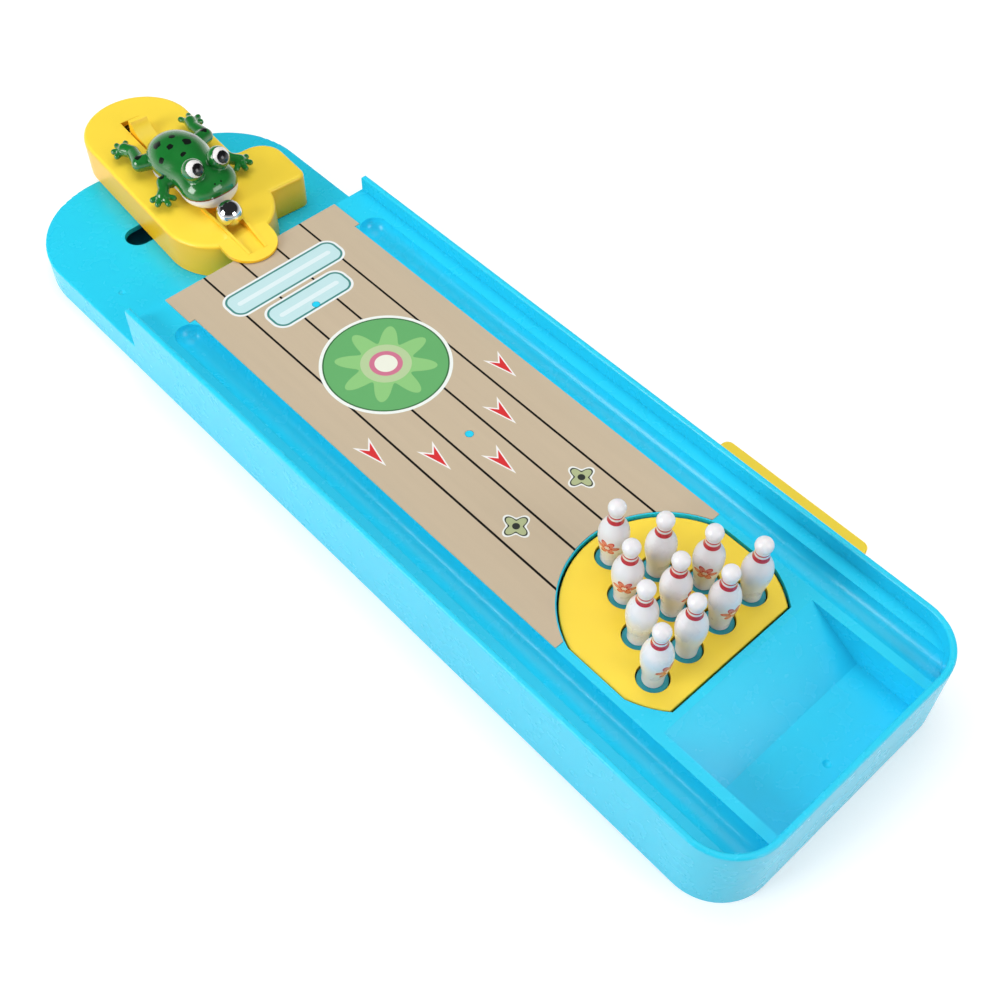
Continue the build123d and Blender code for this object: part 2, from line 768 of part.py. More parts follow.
with BuildPart() as launcher_body:
    extrude(launcher_plan(0, launcher_bottom), amount=launcher_height)
    fillet(launcher_body.edges().group_by(Axis.Z)[-1], launcher_edge_radius)
    add(launcher_cavity.part, mode=Mode.SUBTRACT)
    # Tongue, sloping down from the body's top to its tip
    with BuildSketch(launcher_plane.offset(tongue_bottom)):
        with Locations((0, tongue_centre)):
            Circle(tongue_radius)
        with Locations((0, (tongue_slope_start + tongue_centre) / 2)):
            Rectangle(2 * tongue_radius, tongue_centre - tongue_slope_start)
    extrude(amount=launcher_top - tongue_bottom)
    with BuildSketch(launcher_side):
        with BuildLine():
            Polyline(
                (tongue_slope_start, launcher_top),
                (tongue_tip, tongue_tip_top),
                (tongue_tip + cut_overrun, tongue_tip_top),
                (tongue_tip + cut_overrun, launcher_top + cut_overrun),
                (tongue_slope_start, launcher_top + cut_overrun),
                (tongue_slope_start, launcher_top),
            )
        make_face()
    extrude(amount=tongue_radius, both=True, mode=Mode.SUBTRACT)
    add(channel_ribs.part)
    add(channel_cut.part, mode=Mode.SUBTRACT)
    # Slot that the striker's neck runs in
    slide_slot_front = neck_front + slide_gap
    with BuildSketch(launcher_plane.offset(launcher_ceiling)):
        with Locations((0, (slide_slot_back + slide_slot_front) / 2)):
            Rectangle(2 * slide_slot_half_width, slide_slot_front - slide_slot_back)
    extrude(amount=launcher_wall + cut_overrun, mode=Mode.SUBTRACT)
    with BuildSketch(launcher_plane.offset(base_top)):
        with Locations(*launcher_bosses):
            Circle(screw_shank_radius + screw_clearance)
    extrude(amount=screw_length - base_thickness + screw_clearance, mode=Mode.SUBTRACT)
finish(launcher_body.part, "launcher_body")

# Base of the launcher, with its boss and the rails that carry the slide
with BuildPart() as launcher_base:
    extrude(launcher_plan(launcher_wall + base_clearance, launcher_bottom), amount=base_thickness)
    bush_flange_top = plateau_underside - bush_clearance
    bush_flange_bottom = bush_flange_top - bush_flange_thickness
    boss_bottom = bush_flange_bottom - washer_gap
    with BuildSketch(launcher_plane.offset(boss_bottom)):
        Circle(pivot_radius)
    extrude(amount=launcher_bottom - boss_bottom)
    with BuildSketch(launcher_plane.offset(base_top)):
        for side in (-1, 1):
            with Locations((side * rail_x, (rail_back + rail_front) / 2)):
                Rectangle(rail_width, rail_front - rail_back)
    extrude(amount=slide_bottom - slide_gap - base_top)
    with BuildSketch(launcher_plane.offset(boss_bottom)):
        Circle(screw_shank_radius + screw_clearance)
    extrude(amount=pivot_screw_length - washer_thickness + screw_clearance, mode=Mode.SUBTRACT)
    with Locations(launcher_plane.offset(launcher_bottom)):
        with Locations(*launcher_bosses):
            Cone(
                screw_head_radius + screw_clearance,
                screw_shank_radius + screw_clearance,
                screw_head_height,
                align=(Align.CENTER, Align.CENTER, Align.MIN),
                mode=Mode.SUBTRACT,
            )
            Cylinder(
                screw_shank_radius + screw_clearance,
                base_thickness,
                align=(Align.CENTER, Align.CENTER, Align.MIN),
                mode=Mode.SUBTRACT,
            )
finish(launcher_base.part, "launcher_base")

with BuildPart() as launcher_screws:
    with Locations(launcher_plane.offset(launcher_bottom)):
        with Locations(*launcher_bosses):
            add(countersunk_screw(screw_length, screw_head_radius, screw_head_height))
finish(launcher_screws.part, "launcher_screws")

# Bush that runs along the slot and carries the launcher's boss
with BuildPart() as slot_bush:
    with BuildSketch(launcher_plane.offset(bush_flange_bottom)):
        Circle(bush_flange_radius)
    extrude(amount=bush_flange_thickness)
    with BuildSketch(launcher_plane.offset(bush_flange_top)):
        Circle(slot_width / 2 - bush_clearance)
    extrude(amount=plateau_height - bush_top_drop - bush_flange_top)
    with BuildSketch(launcher_plane.offset(bush_flange_bottom)):
        Circle(pivot_radius + pivot_running_gap)
    extrude(amount=plateau_height - bush_flange_bottom, mode=Mode.SUBTRACT)
finish(slot_bush.part, "slot_bush")

with BuildPart() as retaining_washer:
    with BuildSketch(launcher_plane.offset(boss_bottom - washer_thickness)):
        Circle(washer_radius)
        Circle(screw_shank_radius + screw_clearance, mode=Mode.SUBTRACT)
    extrude(amount=washer_thickness)
finish(retaining_washer.part, "retaining_washer")

with BuildPart() as pivot_screw:
    head_top = boss_bottom - washer_thickness
    with BuildSketch(launcher_plane.offset(head_top - pivot_screw_head_height)):
        Circle(pivot_screw_head_radius)
    extrude(amount=pivot_screw_head_height)
    with BuildSketch(launcher_plane.offset(head_top)):
        Circle(screw_shank_radius)
    extrude(amount=pivot_screw_length)
    with BuildSketch(launcher_plane.offset(head_top - pivot_screw_head_height)):
        Rectangle(screw_recess_length, screw_recess_width)
        Rectangle(screw_recess_width, screw_recess_length)
    extrude(amount=screw_recess_depth, mode=Mode.SUBTRACT)
finish(pivot_screw.part, "pivot_screw")

# Striker slide: a plate under the launcher's top, a neck up through the slot with the thumb tab and the
# frog's pad, and a tail that the spring pushes on
pad_bottom = launcher_top + slide_gap
pad_top = pad_bottom + pad_thickness
tail_end = slide_back + tail_thickness
with BuildPart() as striker_slide:
    with BuildSketch(launcher_plane.offset(slide_bottom)):
        with Locations((0, (slide_back + slide_front) / 2)):
            Rectangle(2 * slide_half_width, slide_front - slide_back)
    extrude(amount=slide_thickness)
    with BuildSketch(launcher_side):
        with BuildLine():
            tab_front = tab_back + tab_top_length
            tab_foot = tab_front + tab_scoop_length
            Polyline(
                (tab_foot, pad_top),
                (neck_front, pad_top),
                (neck_front, slide_bottom),
                (tab_back, slide_bottom),
                (tab_back, launcher_top + tab_rise),
                (tab_front, launcher_top + tab_rise),
            )
            TangentArc((tab_foot, pad_top), (tab_front, launcher_top + tab_rise), tangent=(-1, 0))
        make_face()
    extrude(amount=tab_half_width, both=True)
    with BuildSketch(launcher_plane.offset(pad_bottom)):
        with Locations((0, (pad_back + neck_front) / 2)):
            Rectangle(2 * pad_half_width, neck_front - pad_back)
    extrude(amount=pad_thickness)
    tail_bottom = spring_axis - tail_half_width
    with BuildSketch(launcher_plane.offset(tail_bottom)):
        with Locations((0, (slide_back + tail_end) / 2)):
            Rectangle(2 * tail_half_width, tail_thickness)
    extrude(amount=slide_bottom - tail_bottom)
    peg_plane = Plane(
        origin=launcher_plane.from_local_coords((0, slide_back, spring_axis)),
        x_dir=launcher_plane.x_dir,
        z_dir=-launcher_plane.y_dir,
    )
    with BuildSketch(peg_plane):
        Circle(spring_peg_radius)
    extrude(amount=spring_peg_length)
    with BuildSketch(launcher_plane.offset(slide_bottom)):
        Circle(screw_shank_radius + screw_clearance)
    extrude(amount=pad_top - slide_bottom, mode=Mode.SUBTRACT)
    with Locations(launcher_plane.offset(slide_bottom)):
        Cone(
            screw_head_radius + screw_clearance,
            screw_shank_radius + screw_clearance,
            screw_head_height,
            align=(Align.CENTER, Align.CENTER, Align.MIN),
            mode=Mode.SUBTRACT,
        )
finish(striker_slide.part, "striker_slide")

with BuildPart() as frog_screw:
    with Locations(launcher_plane.offset(slide_bottom)):
        add(countersunk_screw(frog_screw_length, screw_head_radius, screw_head_height))
finish(frog_screw.part, "frog_screw")

# Return spring: quarter turns of a helix, each as two arcs that share their tangents
spring_start = spring_stop + spring_end_gap
spring_end = slide_back - spring_end_gap
spring_wire = 2 * spring_wire_radius
spring_lead = (spring_end - spring_start - 2 * spring_wire) / spring_turns
spring_across = launcher_plane.x_dir
spring_along = launcher_plane.y_dir
spring_up = launcher_plane.z_dir
spring_origin = launcher_plane.from_local_coords((0, spring_start + spring_wire, spring_axis))


def spring_point(turn):
    """Point of the spring's centre line after so many turns, and its direction there."""
    angle = radians(360 * turn)
    outward = spring_across * cos(angle) + spring_up * sin(angle)
    round_turn = spring_up * cos(angle) - spring_across * sin(angle)
    point = spring_origin + outward * spring_radius + spring_along * (spring_lead * turn)
    return point, (round_turn * (spring_radius * radians(360)) + spring_along * spring_lead).normalized()


def biarc_middle(start, start_direction, end, end_direction):
    """Point and direction where two arcs from start to end meet."""
    chord = end - start
    both = start_direction + end_direction
    a = 2 * (start_direction.dot(end_direction) - 1)
    b = -2 * chord.dot(both)
    c = chord.dot(chord)
    reach = (-b - sqrt(b * b - 4 * a * c)) / (2 * a)
    first = start + start_direction * reach
    last = end - end_direction * reach
    return (first + last) / 2, (last - first).normalized()


with BuildPart() as return_spring:
    with BuildLine() as spring_line:
        point, direction = spring_point(0)
        Line(point - direction * spring_wire, point)
        for quarter in range(4 * spring_turns):
            next_point, next_direction = spring_point((quarter + 1) / 4)
            middle, middle_direction = biarc_middle(point, direction, next_point, next_direction)
            TangentArc(point, middle, tangent=direction)
            TangentArc(middle, next_point, tangent=middle_direction)
            point, direction = next_point, next_direction
        Line(point, point + direction * spring_wire)
    with BuildSketch(Plane(origin=spring_line.wire() @ 0, z_dir=spring_line.wire() % 0)):
        Circle(spring_wire_radius)
    sweep()
print("return spring: gap between its turns", round(spring_lead - spring_wire, 2))
finish(return_spring.part, "return_spring")


# Frog: a hull of ellipses from its rump to its snout, split along the seam into a green back and a white
# belly, with eyes, pupils and four legs
frog_base = launcher_top + frog_clearance
frog_across = launcher_plane.x_dir
frog_forward = launcher_plane.y_dir


def frog_place(across, along, up):
    """Point in the launcher's frame, with up counted from the launcher's top."""
    return launcher_plane.from_local_coords((across, along, launcher_top + up))


frog_eye_v = frog_back_end + frog_length - frog_eye_setback
frog_eye_places = [frog_place(side * frog_eye_x, frog_eye_v, frog_eye_rise) for side in (-1, 1)]


def frog_hull(wall):
    """The frog's body and head, drawn in all round by wall."""
    with BuildPart() as hull:
        for along, width, centre, height in frog_hull_shares:
            station = frog_back_end + wall + along * (frog_length - 2 * wall)
            middle = frog_place(0, station, frog_clearance + centre * frog_height)
            shrink = wall * min(1, 2 * width)
            with BuildSketch(Plane(origin=middle, x_dir=frog_across, z_dir=frog_forward)):
                Ellipse(width * frog_width / 2 - shrink, height * frog_height - shrink)
        loft()
        # Brows behind the eyes
        brow_shift = frog_forward * frog_brow_offset + Vector(0, 0, frog_brow_drop)
        with Locations(*[place - brow_shift for place in frog_eye_places]):
            Sphere(frog_brow_radius - wall)
    return hull.part


frog_outside = frog_hull(0)
frog_inside = frog_hull(frog_wall)
frog_front_end = frog_back_end + frog_length

with BuildPart() as frog_seam:
    seam_points = [
        (frog_back_end + along * frog_length, launcher_top + up * frog_height)
        for along, up in frog_seam_shares
    ]
    seam_ceiling = launcher_top + 2 * frog_height
    with BuildSketch(launcher_side):
        with BuildLine():
            Polyline(
                *seam_points,
                (seam_points[-1][0], seam_ceiling),
                (seam_points[0][0], seam_ceiling),
                seam_points[0],
            )
        make_face()
    extrude(amount=frog_width, both=True)

with BuildPart() as frog_back:
    add(frog_outside)
    add(frog_inside, mode=Mode.SUBTRACT)
    add(frog_seam.part, mode=Mode.INTERSECT)
finish(frog_back.part, "frog_back")

with BuildPart() as frog_belly:
    add(frog_outside)
    add(frog_inside, mode=Mode.SUBTRACT)
    add(frog_seam.part, mode=Mode.SUBTRACT)
    with BuildSketch(launcher_plane.offset(pad_top)):
        Circle(frog_post_radius)
    extrude(amount=frog_post_rise)
    # Flat seat on the pad, and the pilot hole of the screw
    with BuildSketch(launcher_plane.offset(pad_top)):
        Rectangle(2 * frog_length, 2 * frog_length)
    extrude(amount=-frog_clearance, mode=Mode.SUBTRACT)
    with BuildSketch(launcher_plane.offset(pad_top)):
        Circle(screw_shank_radius + screw_clearance)
    extrude(amount=frog_screw_length + slide_bottom - pad_top + screw_clearance, mode=Mode.SUBTRACT)
finish(frog_belly.part, "frog_belly")

with BuildPart() as frog_eyes:
    with Locations(*frog_eye_places):
        Sphere(frog_eye_radius)
    add(frog_outside, mode=Mode.SUBTRACT)
finish(frog_eyes.part, "frog_eyes")

with BuildPart() as frog_gaze:
    for side, place in zip((-1, 1), frog_eye_places):
        gaze = frog_forward + frog_across * (side * frog_gaze_side_share) + Vector(0, 0, frog_gaze_rise_share)
        with BuildSketch(Plane(origin=place, z_dir=gaze)):
            Circle(frog_pupil_radius)
        extrude(amount=2 * frog_eye_radius)

with BuildPart() as frog_pupils:
    with Locations(*frog_eye_places):
        Sphere(frog_eye_radius + frog_pupil_thickness)
    add(frog_gaze.part, mode=Mode.INTERSECT)
    with Locations(*frog_eye_places):
        Sphere(frog_eye_radius, mode=Mode.SUBTRACT)
    add(frog_outside, mode=Mode.SUBTRACT)
finish(frog_pupils.part, "frog_pupils")


def frog_leg(joint_shares, radius, foot_turn, toe_spread, name):
    """Leg from its hip to a flat foot with three toes, cut to lie against the hull."""
    joints = [
        frog_place(across * frog_width / 2, frog_back_end + along * frog_length, up * frog_height)
        for across, along, up in joint_shares
    ]
    side = 1 if joint_shares[0][0] > 0 else -1
    foot = launcher_plane.to_local_coords(joints[-1])
    with BuildPart() as leg:
        with BuildLine() as bone:
            FilletPolyline(*joints, radius=radius + knee_clearance)
        with BuildSketch(Plane(origin=bone.wire() @ 0, z_dir=bone.wire() % 0)):
            Circle(radius)
        sweep()
        with BuildSketch(launcher_plane.offset(foot.Z)):
            with Locations((foot.X, foot.Y)):
                Circle(foot_radius)
            for spread in (-1, 0, 1):
                turn = radians(side * foot_turn + spread * toe_spread)
                tip = (foot.X + toe_length * sin(turn), foot.Y + toe_length * cos(turn))
                edge = (toe_radius * cos(turn), -toe_radius * sin(turn))
                with BuildLine():
                    Polyline(
                        (foot.X + edge[0], foot.Y + edge[1]),
                        (tip[0] + edge[0], tip[1] + edge[1]),
                        (tip[0] - edge[0], tip[1] - edge[1]),
                        (foot.X - edge[0], foot.Y - edge[1]),
                        (foot.X + edge[0], foot.Y + edge[1]),
                    )
                make_face()
                with Locations(tip):
                    Circle(toe_tip_radius)
        extrude(amount=foot_thickness / 2, both=True)
        add(frog_outside, mode=Mode.SUBTRACT)
    finish(leg.part, name)


frog_leg(front_leg_right_shares, front_leg_radius, front_foot_turn, front_toe_spread, "frog_front_leg_right")
frog_leg(front_leg_left_shares, front_leg_radius, front_foot_turn, front_toe_spread, "frog_front_leg_left")
frog_leg(rear_leg_right_shares, rear_leg_radius, rear_foot_turn, rear_toe_spread, "frog_rear_leg_right")
frog_leg(rear_leg_left_shares, rear_leg_radius, rear_foot_turn, rear_toe_spread, "frog_rear_leg_left")

# Steel ball, on the two ribs in front of the frog's chin
ball_v = frog_front_end + ball_distance + ball_radius
channel_share = (ball_v - channel_start) / (channel_end - channel_start)
ball_half_gap = channel_half_gap + (channel_end_half_gap - channel_half_gap) * channel_share
ball_height = rib_top + sqrt(ball_radius**2 - ball_half_gap**2) + ball_gap
with BuildPart() as steel_ball:
    with Locations(launcher_plane.from_local_coords((0, ball_v, ball_height))):
        Sphere(ball_radius)
finish(steel_ball.part, "steel_ball")

# Bowling pins, one on each seat
pin_head_height = pin_height - pin_head_radius
for number, (x, y) in enumerate(pin_places, start=1):
    with BuildPart() as pin:
        with BuildSketch(Plane(origin=(x, y, seat_height + pin_seat_gap), x_dir=(1, 0, 0), z_dir=(0, -1, 0))):
            with BuildLine():
                Line((0, pin_height), (0, 0))
                Line((0, 0), (pin_base_radius - pin_foot_radius, 0))
                foot = TangentArc(
                    (pin_base_radius - pin_foot_radius, 0), (pin_base_radius, pin_foot_radius), tangent=(1, 0)
                )
                side = Spline(
                    foot @ 1,
                    (pin_belly_radius, pin_belly_height),
                    (pin_shoulder_radius, pin_shoulder_height),
                    (pin_collar_radius, pin_collar_height),
                    (pin_neck_radius, pin_neck_height),
                    tangents=((0, 1), (0, 1)),
                )
                head_meet = sqrt(pin_head_radius**2 - pin_neck_radius**2)
                ThreePointArc(
                    (pin_neck_radius, pin_head_height - head_meet),
                    (pin_head_radius, pin_head_height),
                    (0, pin_height),
                )
                Line(side @ 1, (pin_neck_radius, pin_head_height - head_meet))
            make_face()
        revolve(axis=Axis((x, y, 0), (0, 0, 1)))
    finish(pin.part, f"pin_{number}")
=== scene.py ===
from math import radians

import bpy
from bpy.props import FloatProperty, FloatVectorProperty, PointerProperty
from mathutils import Euler, Matrix, Vector


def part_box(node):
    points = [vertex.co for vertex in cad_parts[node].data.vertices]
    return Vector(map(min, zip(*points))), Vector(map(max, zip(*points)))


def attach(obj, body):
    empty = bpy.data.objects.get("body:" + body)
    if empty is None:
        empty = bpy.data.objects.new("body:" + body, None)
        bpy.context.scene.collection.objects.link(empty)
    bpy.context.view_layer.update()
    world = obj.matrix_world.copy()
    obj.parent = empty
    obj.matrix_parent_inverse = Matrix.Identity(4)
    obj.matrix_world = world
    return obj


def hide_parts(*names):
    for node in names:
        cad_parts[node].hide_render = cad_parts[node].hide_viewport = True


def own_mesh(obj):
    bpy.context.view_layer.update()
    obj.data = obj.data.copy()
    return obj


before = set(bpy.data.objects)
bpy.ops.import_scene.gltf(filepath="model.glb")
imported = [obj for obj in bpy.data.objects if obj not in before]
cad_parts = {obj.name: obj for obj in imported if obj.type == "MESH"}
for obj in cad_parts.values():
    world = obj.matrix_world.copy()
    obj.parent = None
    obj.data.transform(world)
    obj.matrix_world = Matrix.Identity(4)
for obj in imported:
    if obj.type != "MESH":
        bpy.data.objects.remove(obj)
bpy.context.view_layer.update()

bl_info = {
    "name": "Tabletop Bowling Game",
    "version": (1, 0, 0),
    "blender": (4, 5, 0),
    "location": "3D View > Sidebar > Bowling Game",
    "description": "Dresses the tabletop bowling game: plastics, printed lane, frog, pins, ball and stage",
    "category": "Object",
}

# The launcher stands turned on its boss: its own frame is x to its right and y along the throw
LAUNCHER_PLACE = Vector((-0.0052, -0.1612, 0.030))
LAUNCHER_TURN = radians(-4.5)
MM = 0.001

# The camera and the lamps, fitted to the photograph. A lamp is its place, its side and its share of the power
CAMERA_PLACE = (0.2087478, 0.2582143, 0.4019455)
CAMERA_TURN = (radians(37.1192), radians(-0.6929), radians(137.0808))
CAMERA_SENSOR = 36.0
CAMERA_NEAR, CAMERA_FAR = 0.01, 20.0
OVERHEAD = "overhead lamp"
LAMPS = (
    (OVERHEAD, (-0.20, -0.20, 1.25), 1.1, 1.15),
    ("left lamp", (1.00, -0.30, 0.50), 0.60, 1.0),
    ("right lamp", (-0.25, 1.05, 0.48), 0.60, 0.48),
)
HORIZON_RISE, CEILING_RISE = 0.05, 0.40
FLOOR_GLOW = 0.42
WHITE = (1.0, 1.0, 1.0, 1.0)

# Fine surface, common to all materials: heights in metres, sizes as noise scales
GLOSS_SCALE = 140.0
GRAIN_HEIGHT, GRAIN_SCALE = 0.0004, 2200.0
WAVE_HEIGHT, WAVE_SCALE = 0.002, 45.0

# The lane's print in millimetres, from the middle of the tray. A layer is how far it reaches and its colour
PRINT_EDGE = 0.06
LINE_INK = (0.006, 0.005, 0.005)
BOARD_LINES = (8.0, 24.0)
DART_PITCH, DART_TIP, DART_STAGGER = 16.0, 48.6, 16.9
DART_HALF_WIDTH, DART_LENGTH, DART_NOTCH = 3.7, 14.6, 4.4
DART_LAYERS = ((0.0, (0.86, 0.84, 0.82)), (-0.55, (0.66, 0.025, 0.03)))
PANELS = ((-86.5, 27.0), (-70.5, 18.5))
PANEL_HALF_HEIGHT, PANEL_CORNER = 6.2, 4.6
PANEL_LAYERS = ((1.0, (0.80, 0.84, 0.84)), (0.0, (0.055, 0.245, 0.225)), (-0.9, (0.52, 0.74, 0.76)))
BEAD_INSET, BEAD_RADIUS, BEAD_COLOUR = 4.0, 1.1, (0.70, 0.83, 0.85)
EMBLEM_PLACE = -23.5
EMBLEM_RINGS = ((25.5, (0.82, 0.86, 0.82)), (24.2, (0.04, 0.15, 0.05)), (23.6, (0.125, 0.41, 0.14)))
STAR_POINTS, STAR_RADIUS, STAR_DEPTH, STAR_COLOUR = 8.0, 15.2, 4.4, (0.26, 0.56, 0.20)
EMBLEM_CORE = ((9.8, (0.45, 0.60, 0.32)), (6.4, (0.60, 0.17, 0.27)), (4.4, (0.80, 0.82, 0.70)))
MARK_PLACES = ((16.0, 65.5), (-16.0, 65.5))
MARK_LEAVES, MARK_DEPTH = 4.0, 1.2
MARK_INK = (0.03, 0.035, 0.03)
MARK_LAYERS = ((4.9, (0.80, 0.82, 0.78)), (4.1, MARK_INK), (3.5, (0.42, 0.47, 0.25)))
MARK_EYE = 1.4

# The pins' print in millimetres: the feet's height over the table, and the rings' heights and half widths
PIN_FOOT = 25.1
PIN_EDGE = 0.05
PIN_RINGS = ((25.3, 0.36), (23.0, 0.9))
ROSETTE_HEIGHT = 12.2
ROSETTE_HALF_PETALS = 3.0
PIN_TURNS = (20.0, 215.0, 33.0, 30.0, 112.0, 250.0, 200.0, 76.0, 235.0, 86.0)

# The return spring in the launcher's frame, in millimetres, and how far the striker presses it
COIL_RADIUS, WIRE_RADIUS = 3.0, 0.35
COIL_START, COIL_END, COIL_HEIGHT = -60.2, -44.5, -5.85
COIL_TURNS, COIL_STEPS, WIRE_SIDES = 8, 28, 10


def colour_property(name, description, default):
    return FloatVectorProperty(
        name=name, description=description, default=default, subtype="COLOR", size=3, min=0.0, max=1.0
    )


class BowlingTraySettings(bpy.types.PropertyGroup):
    """Colours of the tray and what is fixed to it"""

    tray_colour: colour_property("Tray", "Blue plastic of the tray", (0.018, 0.62, 0.87))
    seat_colour: colour_property("Seats", "Darker blue plastic of the seats and the bush", (0.03, 0.40, 0.52))
    cover_colour: colour_property("Cover", "Plastic of the bottom cover", (0.02, 0.45, 0.60))
    yellow_colour: colour_property("Yellow", "Yellow of the launcher and pin plate", (0.98, 0.71, 0.055))
    # Painted shade: a more orange yellow put on upright faces in place of their shading
    yellow_painted_shade_colour: colour_property("Yellow Painted Shade", "Painted shade of the yellow on upright faces", (1.0, 0.54, 0.015))
    sheet_colour: colour_property("Sheet", "Tan ground of the lane sheet", (0.55, 0.447, 0.315))
    board_half_width: FloatProperty(
        name="Board Line", description="Half width of a printed board line", default=0.46 * MM, unit="LENGTH"
    )


class BowlingPinSettings(bpy.types.PropertyGroup):
    """Pins and ball"""

    pin_colour: colour_property("Pin", "White plastic of the pins", (0.81, 0.80, 0.82))
    ring_colour: colour_property("Rings", "Red of the neck rings", (0.55, 0.012, 0.03))
    mark_colour: colour_property("Mark", "Red of the small mark on the belly", (0.62, 0.035, 0.045))
    steel_colour: colour_property("Steel", "Polished steel of the ball", (0.74, 0.75, 0.78))


class BowlingFrogSettings(bpy.types.PropertyGroup):
    """The frog on the striker"""

    frog_colour: colour_property("Skin", "Green lacquer", (0.008, 0.165, 0.024))
    belly_colour: colour_property("Belly", "White lacquer of the belly and chin", (0.83, 0.81, 0.80))
    spot_colour: colour_property("Spots", "Dark spots on the back", (0.004, 0.010, 0.006))
    mouth_colour: colour_property("Mouth", "Line along the mouth", (0.16, 0.012, 0.008))
    brow_radius: FloatProperty(name="Brow", description="Radius of a brow", default=4.85 * MM, unit="LENGTH")
    eye_radius: FloatProperty(name="Eye", description="Radius of an eye", default=4.3 * MM, unit="LENGTH")
    pupil_radius: FloatProperty(
        name="Pupil", description="Radius of a pupil", default=2.4 * MM, unit="LENGTH"
    )


class BowlingStageSettings(bpy.types.PropertyGroup):
    """Floor, lamps and camera"""

    floor_size: FloatProperty(name="Floor", description="Side of the floor", default=6.0, unit="LENGTH")
    lens: FloatProperty(name="Lens", description="Focal length of the camera in millimetres", default=48.134)
    key_power: FloatProperty(name="Lamps", description="Power of the left lamp", default=8.2)
    world_strength: FloatProperty(name="Room Light", description="Strength of the even light", default=0.32)
    ceiling_strength: FloatProperty(
        name="Ceiling", description="Strength of the ceiling that glossy pieces reflect", default=0.04
    )


# Materials


class Paint:
    """Builds the nodes of one material, with its Principled shader as self.surface."""

    def __init__(self, name):
        self.material = bpy.data.materials.new(name)
        self.material.use_nodes = True
        self.tree = self.material.node_tree
        self.surface = self.tree.nodes["Principled BSDF"]
        self.object = self.node("ShaderNodeTexCoord").outputs["Object"]

    def node(self, kind, **settings):
        made = self.tree.nodes.new(kind)
        for key, value in settings.items():
            setattr(made, key, value)
        return made

    def put(self, socket, value):
        if isinstance(value, bpy.types.NodeSocket):
            self.tree.links.new(value, socket)
        else:
            socket.default_value = value

    def math(self, operation, *values):
        made = self.node("ShaderNodeMath", operation=operation)
        for socket, value in zip(made.inputs, values):
            self.put(socket, value)
        return made.outputs[0]

    def mix(self, share, first, second):
        made = self.node("ShaderNodeMix", data_type="RGBA")
        self.put(made.inputs["Factor"], share)
        for socket, value in ((made.inputs[6], first), (made.inputs[7], second)):
            self.put(socket, value if isinstance(value, bpy.types.NodeSocket) else (*value, 1.0))
        return made.outputs[2]

    def split(self, vector):
        return self.node_with("ShaderNodeSeparateXYZ", vector).outputs

    def node_with(self, kind, vector, **settings):
        made = self.node(kind, **settings)
        self.put(made.inputs["Vector"], vector)
        return made

    def shift(self, centre, turn=0.0):
        """Coordinates counted from centre, turned about Z."""
        made = self.node_with("ShaderNodeMapping", self.object, vector_type="TEXTURE")
        made.inputs["Location"].default_value = centre
        made.inputs["Rotation"].default_value = (0.0, 0.0, turn)
        return made.outputs[0]

    def noise(self, scale, detail=2.0, vector=None):
        made = self.node_with("ShaderNodeTexNoise", self.object if vector is None else vector)
        made.inputs["Scale"].default_value = scale
        made.inputs["Detail"].default_value = detail
        return made.outputs["Fac"]

    def below(self, value, limit, softness):
        """1 where value is under limit, 0 above it, with a soft edge."""
        made = self.node("ShaderNodeMapRange", interpolation_type="SMOOTHSTEP")
        for socket, number in zip(made.inputs, (value, limit - softness, limit + softness, 1.0, 0.0)):
            self.put(socket, number)
        return made.outputs[0]

    def between(self, value, low, high):
        made = self.node("ShaderNodeMapRange")
        for socket, number in zip(made.inputs, (value, 0.0, 1.0, low, high)):
            self.put(socket, number)
        return made.outputs[0]

    def bump(self, strength, height, scale, detail, under=None):
        made = self.node("ShaderNodeBump")
        made.inputs["Strength"].default_value = strength
        made.inputs["Distance"].default_value = height
        self.put(made.inputs["Height"], self.noise(scale, detail))
        if under is not None:
            self.put(made.inputs["Normal"], under)
        return made.outputs[0]

    def layers(self, ground, distance, rows, edge):
        """Paints one colour over the other, each as far as its reach in millimetres."""
        for reach, colour in rows:
            ground = self.mix(self.below(distance, reach * MM, edge), ground, colour)
        return ground

    def finish(self, colour, roughness, spread=0.05, grain=0.02, wave=0.0):
        """Colour, uneven gloss and fine bump."""
        self.put(self.surface.inputs["Base Color"], colour)
        self.put(
            self.surface.inputs["Roughness"],
            self.between(self.noise(GLOSS_SCALE, 3.0), roughness - spread, roughness + spread),
        )
        relief = self.bump(grain, GRAIN_HEIGHT, GRAIN_SCALE, 2.0)
        if wave:
            relief = self.bump(wave, WAVE_HEIGHT, WAVE_SCALE, 1.0, relief)
        self.put(self.surface.inputs["Normal"], relief)
        return self.material


def shade(colour, factor):
    return tuple(min(1.0, part * factor) for part in colour)


def moulded_plastic(name, colour, roughness=0.32, grain=0.006, wave=0.015, painted_shade_colour=None):
    """Slow flow marks, a faint cloud in the colour, fine grain, and painted shade on upright faces, which get
    a more orange yellow.
    """
    paint = Paint(name)
    cloud = paint.noise(28.0, 4.0)
    ground = paint.mix(cloud, shade(colour, 0.95), shade(colour, 1.04))
    # Painted shade: upright faces take a darker, more orange colour, as the sides show in shade
    if painted_shade_colour is not None:
        normal = paint.node("ShaderNodeTexCoord").outputs["Normal"]
        level = paint.math("ABSOLUTE", paint.split(normal)[2])
        ground = paint.mix(paint.below(level, 0.5, 0.35), ground, painted_shade_colour)
    paint.surface.inputs["Specular IOR Level"].default_value = 0.45
    return paint.finish(ground, roughness, spread=0.03, grain=grain, wave=wave)


def plated_steel(name, colour, roughness):
    paint = Paint(name)
    paint.surface.inputs["Metallic"].default_value = 1.0
    ground = paint.mix(paint.noise(900.0, 3.0), shade(colour, 0.9), colour)
    return paint.finish(ground, roughness, spread=0.04, grain=0.03)


def polished_steel(name, colour):
    """Ball: mirror finish with faint scuffs."""
    paint = Paint(name)
    paint.surface.inputs["Metallic"].default_value = 1.0
    scuffs = paint.noise(1500.0, 6.0)
    ground = paint.mix(scuffs, shade(colour, 0.96), colour)
    return paint.finish(ground, 0.07, spread=0.03, grain=0.004)


